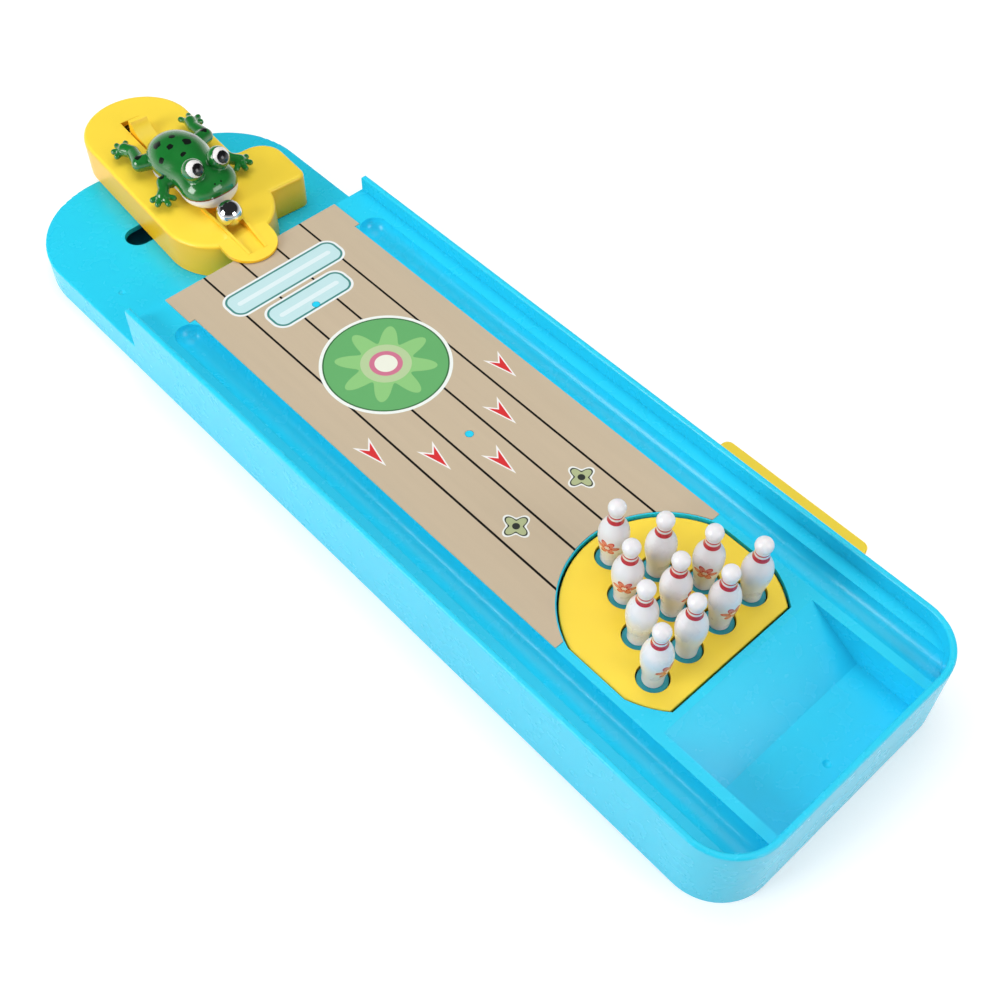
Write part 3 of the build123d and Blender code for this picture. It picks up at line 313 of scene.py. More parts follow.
def rounded_panel(paint, x, y, centre, half_width, half_height, radius):
    """Distance to a flat panel with round corners, in metres, negative inside."""
    across = paint.math("ABSOLUTE", paint.math("SUBTRACT", x, centre[0]))
    across = paint.math("SUBTRACT", across, half_width - radius)
    along = paint.math("ABSOLUTE", paint.math("SUBTRACT", y, centre[1]))
    along = paint.math("SUBTRACT", along, half_height - radius)
    outside = paint.math(
        "SQRT",
        paint.math(
            "ADD",
            paint.math("POWER", paint.math("MAXIMUM", across, 0.0), 2.0),
            paint.math("POWER", paint.math("MAXIMUM", along, 0.0), 2.0),
        ),
    )
    inside = paint.math("MINIMUM", paint.math("MAXIMUM", across, along), 0.0)
    return paint.math("SUBTRACT", paint.math("ADD", outside, inside), radius)


def radius_and_angle(paint, x, y, centre):
    dx = paint.math("SUBTRACT", x, centre[0])
    dy = paint.math("SUBTRACT", y, centre[1])
    squares = paint.math("ADD", paint.math("MULTIPLY", dx, dx), paint.math("MULTIPLY", dy, dy))
    return paint.math("SQRT", squares), paint.math("ARCTAN2", dy, dx)


def dart_distance(paint, side, y):
    """Distance to the nearest dart. There is one for every board, with its tip further back to the sides."""
    pitch = DART_PITCH * MM
    number = paint.math("ROUND", paint.math("DIVIDE", side, pitch))
    offset = paint.math("ABSOLUTE", paint.math("SUBTRACT", side, paint.math("MULTIPLY", number, pitch)))
    tip = paint.math("SUBTRACT", DART_TIP * MM, paint.math("MULTIPLY", number, DART_STAGGER * MM))
    back = paint.math("SUBTRACT", tip, y)
    slope = paint.math("MULTIPLY", back, DART_HALF_WIDTH / DART_LENGTH)
    flank = paint.math("SUBTRACT", offset, slope)
    past_notch = paint.math("SUBTRACT", back, (DART_LENGTH - DART_NOTCH) * MM)
    notch = paint.math("MULTIPLY", offset, DART_NOTCH / DART_HALF_WIDTH)
    tail = paint.math("MULTIPLY", paint.math("SUBTRACT", past_notch, notch), 0.6)
    dart = paint.math("MAXIMUM", flank, tail)
    # Only the middle one and two to each side are printed
    beyond = paint.math("SUBTRACT", paint.math("MULTIPLY", number, 0.1), 0.25)
    return paint.math("MAXIMUM", dart, beyond)


def lane_print(name, ground_colour, line):
    """Printed sheet: boards, board lines, arrows, two blank panels and a geometric emblem."""
    paint = Paint(name)
    x, y, _ = paint.split(paint.object)
    edge = PRINT_EDGE * MM
    grain = paint.node_with("ShaderNodeMapping", paint.object)
    grain.inputs["Scale"].default_value = (1.0, 0.06, 1.0)
    streaks = paint.noise(420.0, 4.0, grain.outputs[0])
    ground = paint.mix(streaks, shade(ground_colour, 0.955), shade(ground_colour, 1.04))
    side = paint.math("ABSOLUTE", x)
    for place in BOARD_LINES:
        away = paint.math("ABSOLUTE", paint.math("SUBTRACT", side, place * MM))
        ground = paint.mix(paint.below(away, line, edge), ground, LINE_INK)
    ground = paint.layers(ground, dart_distance(paint, side, y), DART_LAYERS, edge)
    # Blank panels at the start of the lane
    for place, half_width in PANELS:
        centre = (0.0, place * MM)
        panel = rounded_panel(
            paint, x, y, centre, half_width * MM, PANEL_HALF_HEIGHT * MM, PANEL_CORNER * MM
        )
        ground = paint.layers(ground, panel, PANEL_LAYERS, edge)
        bead_half_width = (half_width - BEAD_INSET) * MM
        bead = rounded_panel(paint, x, y, centre, bead_half_width, BEAD_RADIUS * MM, BEAD_RADIUS * MM)
        ground = paint.mix(paint.below(bead, 0.0, edge), ground, BEAD_COLOUR)
    # Emblem of rings and an eight-pointed star
    reach, angle = radius_and_angle(paint, x, y, (0.0, EMBLEM_PLACE * MM))
    ground = paint.layers(ground, reach, EMBLEM_RINGS, edge)
    wave = paint.math("COSINE", paint.math("MULTIPLY", angle, STAR_POINTS))
    rim = paint.math("ADD", STAR_RADIUS * MM, paint.math("MULTIPLY", wave, STAR_DEPTH * MM))
    star = paint.math("SUBTRACT", reach, rim)
    ground = paint.mix(paint.below(star, 0.0, edge), ground, STAR_COLOUR)
    ground = paint.layers(ground, reach, EMBLEM_CORE, edge)
    # Two small marks before the pins
    for across, along in MARK_PLACES:
        reach, angle = radius_and_angle(paint, x, y, (across * MM, along * MM))
        wave = paint.math("COSINE", paint.math("MULTIPLY", angle, MARK_LEAVES))
        mark = paint.math("SUBTRACT", reach, paint.math("MULTIPLY", wave, MARK_DEPTH * MM))
        ground = paint.layers(ground, mark, MARK_LAYERS, edge)
        ground = paint.mix(paint.below(reach, MARK_EYE * MM, edge), ground, MARK_INK)
    paint.surface.inputs["Specular IOR Level"].default_value = 0.35
    return paint.finish(ground, 0.46, spread=0.04, grain=0.02)


def pin_print(name, settings, centre, turn):
    """White pin with two red neck rings and a small rosette on its belly."""
    paint = Paint(name)
    local = paint.shift((centre[0], centre[1], PIN_FOOT * MM), turn)
    x, y, z = paint.split(local)
    edge = PIN_EDGE * MM
    cloud = paint.noise(160.0, 3.0)
    ground = paint.mix(cloud, shade(settings.pin_colour, 0.985), shade(settings.pin_colour, 1.015))
    for height, half in PIN_RINGS:
        away = paint.math("ABSOLUTE", paint.math("SUBTRACT", z, height * MM))
        ground = paint.mix(paint.below(away, half * MM, edge), ground, settings.ring_colour)
    # Six-petalled rosette on the +X side of the turned coordinates
    rise = paint.math("SUBTRACT", z, ROSETTE_HEIGHT * MM)
    reach, angle = radius_and_angle(paint, y, rise, (0.0, 0.0))
    petal = paint.math("COSINE", paint.math("MULTIPLY", angle, ROSETTE_HALF_PETALS))
    petal = paint.math("ABSOLUTE", petal)
    reach = paint.math("DIVIDE", reach, paint.math("ADD", paint.math("MULTIPLY", petal, 0.5), 0.5))
    front = paint.math("GREATER_THAN", x, 0.0)
    mark = settings.mark_colour
    for limit, colour in ((3.9, mark), (3.35, (0.76, 0.20, 0.17)), (1.9, mark), (1.1, (0.84, 0.70, 0.68))):
        share = paint.math("MULTIPLY", paint.below(reach, limit * MM, edge), front)
        ground = paint.mix(share, ground, colour)
    paint.surface.inputs["Coat Weight"].default_value = 0.35
    paint.surface.inputs["Coat Roughness"].default_value = 0.12
    paint.surface.inputs["Subsurface Weight"].default_value = 0.08
    paint.surface.inputs["Subsurface Scale"].default_value = 0.002
    return paint.finish(ground, 0.28, spread=0.05, grain=0.015)


def frog_lacquer(name, settings):
    """Green lacquer with dark spots, dark rims round the eyes, nostrils and a line along the mouth."""
    paint = Paint(name)
    made = paint.node_with("ShaderNodeMapping", paint.object, vector_type="TEXTURE")
    made.inputs["Location"].default_value = LAUNCHER_PLACE
    made.inputs["Rotation"].default_value = (0.0, 0.0, LAUNCHER_TURN + FROG_TURN)
    local = made.outputs[0]
    ground = paint.mix(
        paint.noise(90.0, 3.0), shade(settings.frog_colour, 0.82), shade(settings.frog_colour, 1.25)
    )
    wobble = paint.math("MULTIPLY", paint.math("SUBTRACT", paint.noise(330.0, 2.0), 0.5), 2.6 * MM)

    def distance(place):
        away = paint.node("ShaderNodeVectorMath", operation="DISTANCE")
        paint.put(away.inputs[0], local)
        away.inputs[1].default_value = place
        return away.outputs["Value"]

    for across, along, size in FROG_SPOTS:
        reach = paint.math("ADD", distance(on_back(across, along)), wobble)
        ground = paint.mix(paint.below(reach, size * MM, 0.12 * MM), ground, settings.spot_colour)
    for _, joints, _ in FROG_LEGS:
        across, along, up, radius = joints[1]
        knee = Matrix.Rotation(-FROG_TURN, 3, "Z") @ Vector((across, along, up + radius)) * MM
        reach = paint.math("ADD", distance(knee), wobble)
        ground = paint.mix(paint.below(reach, 0.45 * radius * MM, 0.12 * MM), ground, settings.spot_colour)
    for side in (-1.0, 1.0):
        pole = brow_place(side) + eye_facing(side) * settings.brow_radius
        ground = paint.mix(paint.below(distance(pole), 4.15 * MM, 0.06 * MM), ground, settings.spot_colour)
        nostril = paint.below(distance(on_back(side * 1.5, 27.0)), 0.42 * MM, 0.1 * MM)
        ground = paint.mix(nostril, ground, settings.spot_colour)
    # Mouth line along the front of the seam
    across, along, up = paint.split(local)
    over = paint.math("ADD", up, paint.math("MULTIPLY", along, SEAM_NORMAL[1]))
    seam = SEAM_POINT[2] + SEAM_POINT[1] * SEAM_NORMAL[1]
    front = paint.math("GREATER_THAN", along, 12.5 * MM)
    inside = paint.math("LESS_THAN", paint.math("ABSOLUTE", across), 12.7 * MM)
    low = paint.below(over, seam + 0.55 * MM, 0.15 * MM)
    lip = paint.math("MULTIPLY", low, paint.math("MULTIPLY", front, inside))
    ground = paint.mix(lip, ground, settings.mouth_colour)
    paint.surface.inputs["Coat Weight"].default_value = 0.9
    paint.surface.inputs["Coat Roughness"].default_value = 0.05
    return paint.finish(ground, 0.22, spread=0.06, grain=0.02, wave=0.05)


def white_lacquer(name, colour):
    paint = Paint(name)
    ground = paint.mix(paint.noise(120.0, 3.0), shade(colour, 0.96), shade(colour, 1.02))
    paint.surface.inputs["Coat Weight"].default_value = 0.6
    paint.surface.inputs["Coat Roughness"].default_value = 0.08
    return paint.finish(ground, 0.25, spread=0.05, grain=0.015)


def black_lacquer(name):
    paint = Paint(name)
    ground = paint.mix(paint.noise(200.0), (0.004, 0.004, 0.005), (0.010, 0.010, 0.012))
    paint.surface.inputs["Coat Weight"].default_value = 0.5
    paint.surface.inputs["Coat Roughness"].default_value = 0.03
    return paint.finish(ground, 0.2, spread=0.04, grain=0.01)


def dress(material, *nodes):
    """Puts the material on CAD nodes, in every slot they have."""
    for name in nodes:
        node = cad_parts[name]
        if not node.material_slots:
            node.data.materials.append(material)
        for slot in node.material_slots:
            slot.material = material


# Modelling helpers


def clear_selection():
    for thing in bpy.context.selected_objects:
        thing.select_set(False)


def active(name):
    made = bpy.context.active_object
    made.name = name
    made.data.name = name
    return made


def only(thing):
    clear_selection()
    thing.select_set(True)
    bpy.context.view_layer.objects.active = thing


def apply_modifier(thing, kind, **settings):
    only(thing)
    modifier = thing.modifiers.new(kind.title(), kind)
    for key, value in settings.items():
        setattr(modifier, key, value)
    bpy.ops.object.modifier_apply(modifier=modifier.name)


def into_launcher_frame(thing, turn=0.0):
    """Moves a piece that was modelled round the launcher's boss to its place, and bakes the place in."""
    only(thing)
    turned = Matrix.Rotation(LAUNCHER_TURN + turn, 4, "Z")
    thing.matrix_world = Matrix.Translation(LAUNCHER_PLACE) @ turned @ thing.matrix_world
    bpy.ops.object.transform_apply(location=True, rotation=True, scale=True)


def lofted_body(name, stations, sides=28):
    """Closed body along Y, extruded from oval to oval. A station is y, z, half width and half height."""
    clear_selection()
    y, z, half_width, half_height = stations[0]
    bpy.ops.mesh.primitive_circle_add(
        vertices=sides, radius=1.0, fill_type="NGON", location=(0.0, 0.0, 0.0),
        rotation=(radians(90.0), 0.0, 0.0),
    )
    body = active(name)
    bpy.ops.object.transform_apply(location=False, rotation=True, scale=False)
    bpy.ops.object.mode_set(mode="EDIT")
    bpy.ops.mesh.select_all(action="SELECT")
    bpy.ops.transform.resize(value=(half_width, 1.0, half_height), center_override=(0.0, 0.0, 0.0))
    bpy.ops.transform.translate(value=(0.0, y, z))
    before = stations[0]
    for station in stations[1:]:
        bpy.ops.mesh.extrude_region_move(
            TRANSFORM_OT_translate={"value": (0.0, station[0] - before[0], station[1] - before[1])}
        )
        bpy.ops.transform.resize(
            value=(station[2] / before[2], 1.0, station[3] / before[3]),
            center_override=(0.0, station[0], station[1]),
        )
        before = station
    bpy.ops.mesh.select_all(action="SELECT")
    bpy.ops.mesh.normals_make_consistent(inside=False)
    bpy.ops.object.mode_set(mode="OBJECT")
    return body


def round_ball(name, place, radius, segments=32, rings=20):
    clear_selection()
    bpy.ops.mesh.primitive_uv_sphere_add(segments=segments, ring_count=rings, radius=radius, location=place)
    ball = active(name)
    bpy.ops.object.transform_apply(location=True, rotation=True, scale=True)
    return ball


def join(first, *others):
    clear_selection()
    for other in others:
        other.select_set(True)
    first.select_set(True)
    bpy.context.view_layer.objects.active = first
    bpy.ops.object.join()
    return first


def cut_away(thing, point, normal, keep_above):
    """Cuts a piece along a plane and keeps one side, with the cut closed."""
    only(thing)
    bpy.ops.object.mode_set(mode="EDIT")
    bpy.ops.mesh.select_all(action="SELECT")
    bpy.ops.mesh.bisect(
        plane_co=point, plane_no=normal, use_fill=True, clear_inner=keep_above, clear_outer=not keep_above
    )
    bpy.ops.object.mode_set(mode="OBJECT")


def limb(name, bones):
    """Limb of tapered bones with round ends: each bone is its start, its end and the radius at both."""
    parts = []
    for start, end, first, last in bones:
        start, end = Vector(start), Vector(end)
        clear_selection()
        bpy.ops.mesh.primitive_cone_add(
            vertices=24, radius1=first, radius2=last, depth=(end - start).length,
            location=(start + end) / 2, rotation=(end - start).to_track_quat("Z", "Y").to_euler(),
        )
        parts.append(active(name))
        parts += [round_ball(name, start, first), round_ball(name, end, last)]
    bpy.ops.object.select_all(action="DESELECT")
    only(parts[0])
    made = join(*parts)
    made.name = made.data.name = name
    bpy.ops.object.transform_apply(location=True, rotation=True, scale=True)
    apply_modifier(made, "REMESH", mode="VOXEL", voxel_size=0.3 * MM)
    apply_modifier(made, "SMOOTH", factor=0.5, iterations=5)
    return made


def spring_coil(name):
    """Round wire, screwed up round Z, closed at both ends and laid along the launcher."""
    clear_selection()
    bpy.ops.mesh.primitive_circle_add(
        vertices=WIRE_SIDES, radius=WIRE_RADIUS * MM, fill_type="NOTHING",
        location=(COIL_RADIUS * MM, 0.0, 0.0), rotation=(radians(90.0), 0.0, 0.0),
    )
    coil = active(name)
    bpy.ops.object.transform_apply(location=True, rotation=True, scale=True)
    lead = (COIL_END - COIL_START - 2 * WIRE_RADIUS) / COIL_TURNS * MM
    apply_modifier(
        coil, "SCREW", axis="Z", angle=radians(360.0), screw_offset=lead, iterations=COIL_TURNS,
        steps=COIL_STEPS, render_steps=COIL_STEPS,
    )
    bpy.ops.object.mode_set(mode="EDIT")
    bpy.ops.mesh.select_all(action="SELECT")
    bpy.ops.mesh.fill_holes(sides=0)
    bpy.ops.mesh.select_all(action="SELECT")
    bpy.ops.mesh.normals_make_consistent(inside=False)
    bpy.ops.object.mode_set(mode="OBJECT")
    smooth(coil)
    place = Matrix.Translation(Vector((0.0, COIL_START + WIRE_RADIUS, COIL_HEIGHT)) * MM)
    coil.matrix_world = place @ Matrix.Rotation(radians(-90.0), 4, "X")
    into_launcher_frame(coil)
    return coil


def smooth(thing):
    only(thing)
    bpy.ops.object.shade_smooth()


def settle(thing, body, slot, material, *replaced):
    """Gives a finished piece its material and body. Its slot is not used."""
    thing.data.materials.clear()
    thing.data.materials.append(material)
    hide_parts(*replaced)
    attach(thing, body)


# The frog in millimetres, in the launcher's frame, heights counted from its top. Each station of the body is
# its place along the length, the height of its middle, half its width and half its height
FROG_BACK = (
    (-18.4, 6.8, 2.6, 2.8), (-17.4, 7.2, 5.4, 4.4), (-15.5, 7.8, 8.2, 6.1), (-11.0, 8.8, 11.2, 8.0),
    (-4.0, 9.2, 13.0, 9.1), (2.0, 9.2, 12.6, 9.0), (8.0, 8.8, 10.9, 8.4), (13.0, 8.6, 11.4, 8.2),
    (18.0, 8.6, 12.5, 8.2), (22.5, 8.6, 12.0, 7.7), (26.3, 7.9, 9.7, 6.6), (28.4, 7.2, 6.4, 5.0),
    (29.2, 6.8, 3.2, 2.8),
)
FROG_BELLY = (
    (-17.2, 5.2, 2.6, 2.0), (-15.5, 5.0, 7.4, 3.4), (-11.0, 4.9, 10.6, 3.9), (-4.0, 4.9, 12.3, 4.0),
    (2.0, 5.0, 12.0, 4.0), (8.0, 5.2, 10.4, 4.2), (13.0, 5.6, 11.0, 4.5), (18.0, 6.0, 12.2, 4.8),
    (22.5, 6.2, 11.7, 4.8), (26.3, 6.2, 9.5, 4.4), (28.3, 6.2, 6.3, 3.6), (29.0, 6.2, 3.2, 2.2),
)
SEAM_POINT = (0.0, 9.0 * MM, 5.9 * MM)
SEAM_NORMAL = (0.0, -0.125, 1.0)

# The body stands a little askew between its legs
FROG_TURN = radians(3.6)

# Each leg: hip, knee, ankle and palm as place and radius, and the places of the toe tips
FROG_LEGS = (
    (
        "frog_rear_leg_right",
        ((7.0, -8.6, 7.0, 3.8), (14.2, -12.2, 6.0, 3.5), (12.4, -21.2, 5.4, 2.8), (14.2, -25.4, 5.0, 2.9)),
        ((15.2, -31.0), (11.4, -30.4), (18.2, -28.2), (18.6, -24.6)),
    ),
    (
        "frog_rear_leg_left",
        (
            (-8.8, -7.6, 7.0, 3.8), (-17.0, -11.6, 6.0, 3.5),
            (-16.6, -20.2, 5.4, 2.8), (-17.6, -24.6, 5.0, 2.9),
        ),
        ((-15.6, -30.2), (-19.8, -30.6), (-22.6, -27.2), (-21.8, -23.6)),
    ),
    (
        "frog_front_leg_right",
        ((6.8, 7.6, 7.0, 3.1), (12.6, 4.8, 6.2, 2.9), (14.4, 8.0, 5.4, 2.4), (16.4, 10.4, 5.0, 2.6)),
        ((20.6, 9.2), (20.2, 12.8), (16.6, 15.4), (13.0, 13.4)),
    ),
    (
        "frog_front_leg_left",
        ((-7.8, 8.0, 7.0, 3.1), (-16.4, 6.4, 6.2, 2.9), (-18.8, 8.4, 5.4, 2.4), (-20.8, 10.4, 5.0, 2.6)),
        ((-24.8, 8.8), (-24.2, 13.0), (-20.6, 15.2), (-17.4, 13.2)),
    ),
)

# Spots: place across and along, and size
FROG_SPOTS = (
    (-6.0, -9.5, 1.9), (1.6, -12.4, 1.5), (7.0, -6.8, 2.1), (0.0, -5.2, 1.4), (-8.4, -2.0, 1.6),
    (4.4, -0.4, 1.6), (-3.0, 1.6, 1.9), (10.2, 0.8, 1.3), (2.6, 6.4, 1.1), (-11.0, -7.0, 1.3),
)


def in_metres(rows):
    return [tuple(part * MM for part in row) for row in rows]


def leg_bones(joints, tips):
    """Bones of a leg in metres, with a toe from the palm to each tip and a pad at its end."""
    chain = in_metres(joints)
    bones = [(before[:3], after[:3], before[3], after[3]) for before, after in zip(chain, chain[1:])]
    palm = Vector(chain[-1][:3])
    for across, along in tips:
        tip = Vector((across, along, 4.0)) * MM
        knuckle = palm.lerp(tip, 0.86)
        bones.append((palm, knuckle, 1.9 * MM, 1.05 * MM))
        bones.append((knuckle, tip, 1.3 * MM, 1.3 * MM))
    return bones


def brow_place(side):
    return Vector((side * 6.1, 19.5, 18.5)) * MM


def eye_facing(side):
    return Vector((side * 0.10, 0.70, 0.70)).normalized()


def eye_place(side):
    return brow_place(side) + eye_facing(side) * 0.85 * MM


def on_back(across, along):
    """Point of the frog's back over a place, in metres."""
    for before, after in zip(FROG_BACK, FROG_BACK[1:]):
        if before[0] <= along <= after[0]:
            share = (along - before[0]) / (after[0] - before[0])
            middle, width, height = (low + (high - low) * share for low, high in zip(before[1:], after[1:]))
            rise = (1.0 - (across / width) ** 2) ** 0.5 * height
            return Vector((across, along, middle + rise)) * MM
    raise ValueError("place is off the back")


# Operators


class BOWLING_OT_plastics(bpy.types.Operator):
    """Gives the moulded pieces their plastics"""

    bl_idname = "bowling.plastics"
    bl_label = "Moulded Plastics"

    def execute(self, context):
        tray = context.scene.bowling_tray
        dress(moulded_plastic("Tray blue plastic", tray.tray_colour, 0.27), "base_tray")
        dress(moulded_plastic("Deep blue plastic", tray.seat_colour, 0.38), "pin_seat_base", "slot_bush")
        dress(moulded_plastic("Cover plastic", tray.cover_colour, 0.45), "bottom_cover")
        # The yellow has painted shade on its upright faces
        yellow = moulded_plastic(
            "Yellow plastic", tray.yellow_colour, 0.30, painted_shade_colour=tray.yellow_painted_shade_colour
        )
        dress(yellow, "pin_plate", "lift_frame", "lift_handle")
        dress(yellow, "launcher_body", "launcher_base", "striker_slide")
        return {"FINISHED"}


class BOWLING_OT_fasteners(bpy.types.Operator):
    """Gives the screws and washer their plated steel, and models the return spring"""

    bl_idname = "bowling.fasteners"
    bl_label = "Fasteners"

    def execute(self, context):
        steel = plated_steel("Plated steel", (0.52, 0.53, 0.55), 0.32)
        dress(steel, "cover_screws", "launcher_screws", "pivot_screw", "frog_screw", "retaining_washer")

        coil = spring_coil("return_spring_coil")
        settle(coil, "launcher", "screw_steel", steel, "return_spring")
        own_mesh(coil)
        return {"FINISHED"}


class BOWLING_OT_lane(bpy.types.Operator):
    """Prints the lane sheet"""

    bl_idname = "bowling.lane"
    bl_label = "Lane Sheet"

    def execute(self, context):
        tray = context.scene.bowling_tray
        dress(lane_print("Printed lane sheet", tray.sheet_colour, tray.board_half_width), "lane_sheet")
        return {"FINISHED"}


class BOWLING_OT_pins(bpy.types.Operator):
    """Paints the pins and the ball"""

    bl_idname = "bowling.pins"
    bl_label = "Pins and Ball"

    def execute(self, context):
        settings = context.scene.bowling_pins
        for number, turn in enumerate(PIN_TURNS, start=1):
            low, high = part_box(f"pin_{number}")
            centre = (low + high) / 2
            dress(pin_print(f"Pin {number} print", settings, centre, radians(turn)), f"pin_{number}")
        dress(polished_steel("Polished ball steel", settings.steel_colour), "steel_ball")
        return {"FINISHED"}


class BOWLING_OT_frog(bpy.types.Operator):
    """Models the frog's back, belly, eyes and legs"""

    bl_idname = "bowling.frog"
    bl_label = "Frog"

    def execute(self, context):
        settings = context.scene.bowling_frog
        skin = frog_lacquer("Frog green lacquer", settings)
        white = white_lacquer("Frog white lacquer", settings.belly_colour)
        black = black_lacquer("Frog black lacquer")

        back = lofted_body("frog_back_skin", in_metres(FROG_BACK))
        apply_modifier(back, "SUBSURF", levels=2, render_levels=2)
        brows = [round_ball("brow", brow_place(side), settings.brow_radius) for side in (-1.0, 1.0)]
        join(back, *brows)
        apply_modifier(back, "REMESH", mode="VOXEL", voxel_size=0.4 * MM)
        apply_modifier(back, "SMOOTH", factor=0.5, iterations=6)
        cut_away(back, SEAM_POINT, SEAM_NORMAL, keep_above=True)
        apply_modifier(back, "BEVEL", width=0.45 * MM, segments=3, angle_limit=radians(50.0))
        smooth(back)
        into_launcher_frame(back, FROG_TURN)
        settle(back, "striker", "frog_green", skin, "frog_back")

        belly = lofted_body("frog_belly_skin", in_metres(FROG_BELLY))
        apply_modifier(belly, "SUBSURF", levels=2, render_levels=2)
        cut_away(belly, SEAM_POINT, SEAM_NORMAL, keep_above=False)
        smooth(belly)
        into_launcher_frame(belly, FROG_TURN)
        settle(belly, "striker", "frog_white", white, "frog_belly")

        eyes, pupils = [], []
        for side in (-1.0, 1.0):
            place = eye_place(side)
            eye = round_ball("eye", place, settings.eye_radius)
            cut_away(eye, place, eye_facing(side), keep_above=True)
            eyes.append(eye)
            # The pupil is the cap of a ball that lies just over the eye
            gaze = Vector((-0.10 - side * 0.03, 0.86, 0.50)).normalized()
            rim = (settings.eye_radius**2 - settings.pupil_radius**2) ** 0.5
            pupil = round_ball("pupil", place, settings.eye_radius + 0.12 * MM, 64, 48)
            cut_away(pupil, place + gaze * rim, gaze, keep_above=True)
            pupils.append(pupil)
        for group, name, slot, material, node in (
            (eyes, "frog_eye_balls", "frog_white", white, "frog_eyes"),
            (pupils, "frog_pupil_drops", "frog_black", black, "frog_pupils"),
        ):
            joined = join(*group)
            joined.name = joined.data.name = name
            smooth(joined)
            into_launcher_frame(joined, FROG_TURN)
            settle(joined, "striker", slot, material, node)

        for name, joints, tips in FROG_LEGS:
            leg = limb(name + "_skin", leg_bones(joints, tips))
            smooth(leg)
            into_launcher_frame(leg)
            settle(leg, "striker", "frog_green", skin, name)
        return {"FINISHED"}


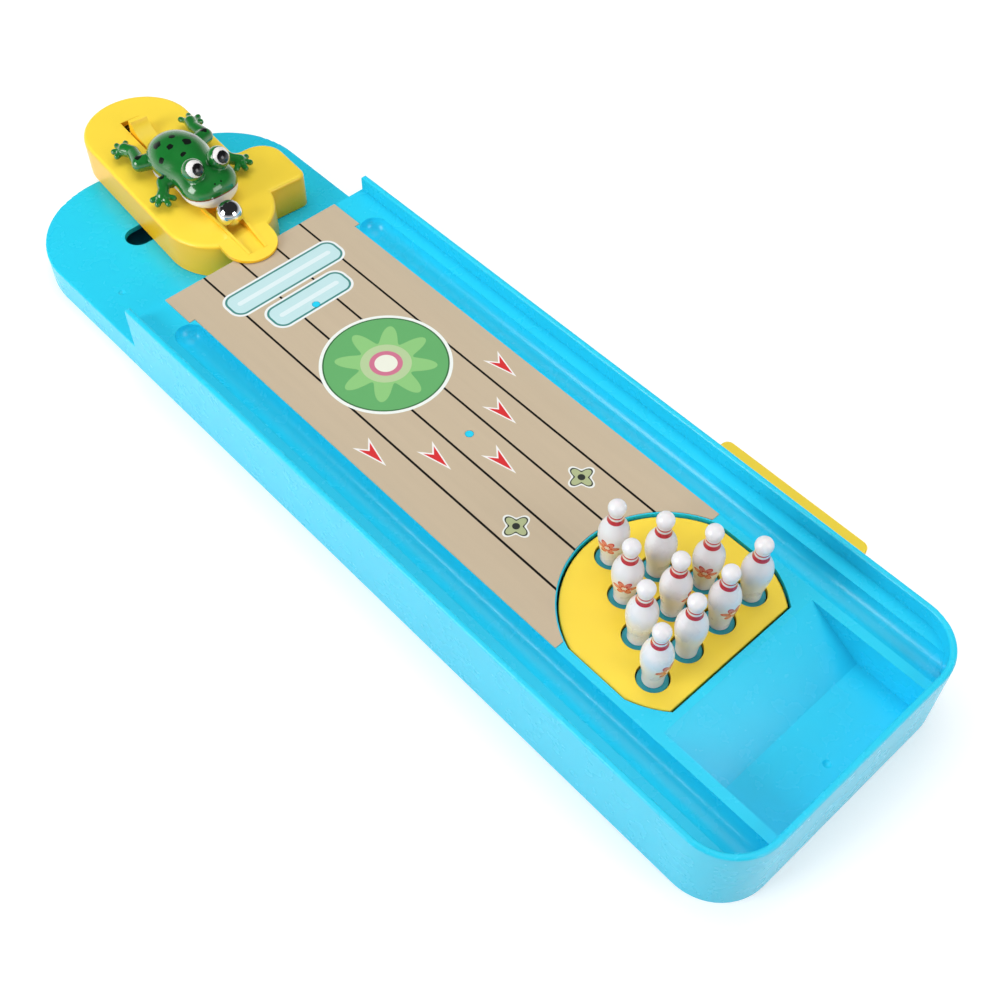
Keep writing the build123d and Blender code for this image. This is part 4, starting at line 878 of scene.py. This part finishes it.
class BOWLING_OT_stage(bpy.types.Operator):
    """Builds the floor, the lamps, the room light and the camera"""

    bl_idname = "bowling.stage"
    bl_label = "Stage"

    def execute(self, context):
        stage = context.scene.bowling_stage
        clear_selection()
        bpy.ops.mesh.primitive_plane_add(size=stage.floor_size, location=(0.0, 0.0, 0.0))
        floor = active("floor")
        paint = Paint("Pale studio floor")
        paint.finish(paint.mix(paint.noise(3.0), (0.70, 0.70, 0.70), (0.72, 0.72, 0.72)), 0.6, grain=0.0)
        glow = paint.node("ShaderNodeEmission")
        glow.inputs["Color"].default_value = WHITE
        path = paint.node("ShaderNodeLightPath")
        seen = paint.math("MAXIMUM", path.outputs["Is Camera Ray"], path.outputs["Is Glossy Ray"])
        paint.put(glow.inputs["Strength"], paint.math("MULTIPLY", seen, FLOOR_GLOW))
        both = paint.node("ShaderNodeAddShader")
        paint.put(both.inputs[0], paint.surface.outputs[0])
        paint.put(both.inputs[1], glow.outputs[0])
        paint.put(paint.tree.nodes["Material Output"].inputs["Surface"], both.outputs[0])
        floor.data.materials.append(paint.material)

        world = bpy.data.worlds.new("Soft room")
        context.scene.world = world
        world.use_nodes = True
        sky = world.node_tree
        room = sky.nodes["Background"]
        room.inputs["Color"].default_value = WHITE
        room.inputs["Strength"].default_value = stage.world_strength
        # Reflections see a white horizon under a darker ceiling, and the camera sees white
        ceiling = sky.nodes.new("ShaderNodeBackground")
        rise = sky.nodes.new("ShaderNodeSeparateXYZ")
        sky.links.new(sky.nodes.new("ShaderNodeTexCoord").outputs["Generated"], rise.inputs[0])
        fade = sky.nodes.new("ShaderNodeMapRange")
        fade_range = (HORIZON_RISE, CEILING_RISE, 1.0, stage.ceiling_strength)
        for socket, number in zip(list(fade.inputs)[1:5], fade_range):
            socket.default_value = number
        sky.links.new(rise.outputs["Z"], fade.inputs["Value"])
        sky.links.new(fade.outputs[0], ceiling.inputs["Strength"])
        white = sky.nodes.new("ShaderNodeBackground")
        white.inputs["Color"].default_value = WHITE
        white.inputs["Strength"].default_value = 1.0
        path = sky.nodes.new("ShaderNodeLightPath")
        below = room
        for ray, above in (("Is Glossy Ray", ceiling), ("Is Camera Ray", white)):
            blend = sky.nodes.new("ShaderNodeMixShader")
            sky.links.new(path.outputs[ray], blend.inputs[0])
            sky.links.new(below.outputs[0], blend.inputs[1])
            sky.links.new(above.outputs[0], blend.inputs[2])
            below = blend
        sky.links.new(below.outputs[0], sky.nodes["World Output"].inputs["Surface"])

        for name, place, size, share in LAMPS:
            lamp = bpy.data.lights.new(name, "AREA")
            lamp.energy = stage.key_power * share
            lamp.size = size
            holder = bpy.data.objects.new(name, lamp)
            context.scene.collection.objects.link(holder)
            holder.location = place
            holder.rotation_euler = (-Vector(place)).to_track_quat("-Z", "Y").to_euler()
            holder.visible_glossy = name != OVERHEAD

        camera = bpy.data.cameras.new("photo camera")
        camera.lens = stage.lens
        camera.sensor_width = CAMERA_SENSOR
        camera.clip_start, camera.clip_end = CAMERA_NEAR, CAMERA_FAR
        holder = bpy.data.objects.new("photo camera", camera)
        context.scene.collection.objects.link(holder)
        holder.location = CAMERA_PLACE
        holder.rotation_euler = Euler(CAMERA_TURN, "XYZ")
        context.scene.camera = holder
        context.scene.view_settings.view_transform = "Standard"
        return {"FINISHED"}


class BOWLING_PT_panel(bpy.types.Panel):
    """Lists the steps that dress the game"""

    bl_label = "Bowling Game"
    bl_idname = "BOWLING_PT_panel"
    bl_space_type = "VIEW_3D"
    bl_region_type = "UI"
    bl_category = "Bowling Game"

    def draw(self, context):
        for step in STEPS:
            self.layout.operator(step.bl_idname)
        for group in ("bowling_tray", "bowling_pins", "bowling_frog", "bowling_stage"):
            settings = getattr(context.scene, group)
            box = self.layout.box()
            for key in settings.__annotations__:
                box.prop(settings, key)


STEPS = (
    BOWLING_OT_plastics,
    BOWLING_OT_fasteners,
    BOWLING_OT_lane,
    BOWLING_OT_pins,
    BOWLING_OT_frog,
    BOWLING_OT_stage,
)
GROUPS = {
    "bowling_tray": BowlingTraySettings,
    "bowling_pins": BowlingPinSettings,
    "bowling_frog": BowlingFrogSettings,
    "bowling_stage": BowlingStageSettings,
}


def register():
    for made in (*GROUPS.values(), *STEPS, BOWLING_PT_panel):
        bpy.utils.register_class(made)
    for key, group in GROUPS.items():
        setattr(bpy.types.Scene, key, PointerProperty(type=group))


def unregister():
    for key in GROUPS:
        delattr(bpy.types.Scene, key)
    for made in reversed((*GROUPS.values(), *STEPS, BOWLING_PT_panel)):
        bpy.utils.unregister_class(made)


def main():
    register()
    bpy.ops.bowling.plastics()
    bpy.ops.bowling.fasteners()
    bpy.ops.bowling.lane()
    bpy.ops.bowling.pins()
    bpy.ops.bowling.frog()
    bpy.ops.bowling.stage()


if __name__ == "__main__":
    main()
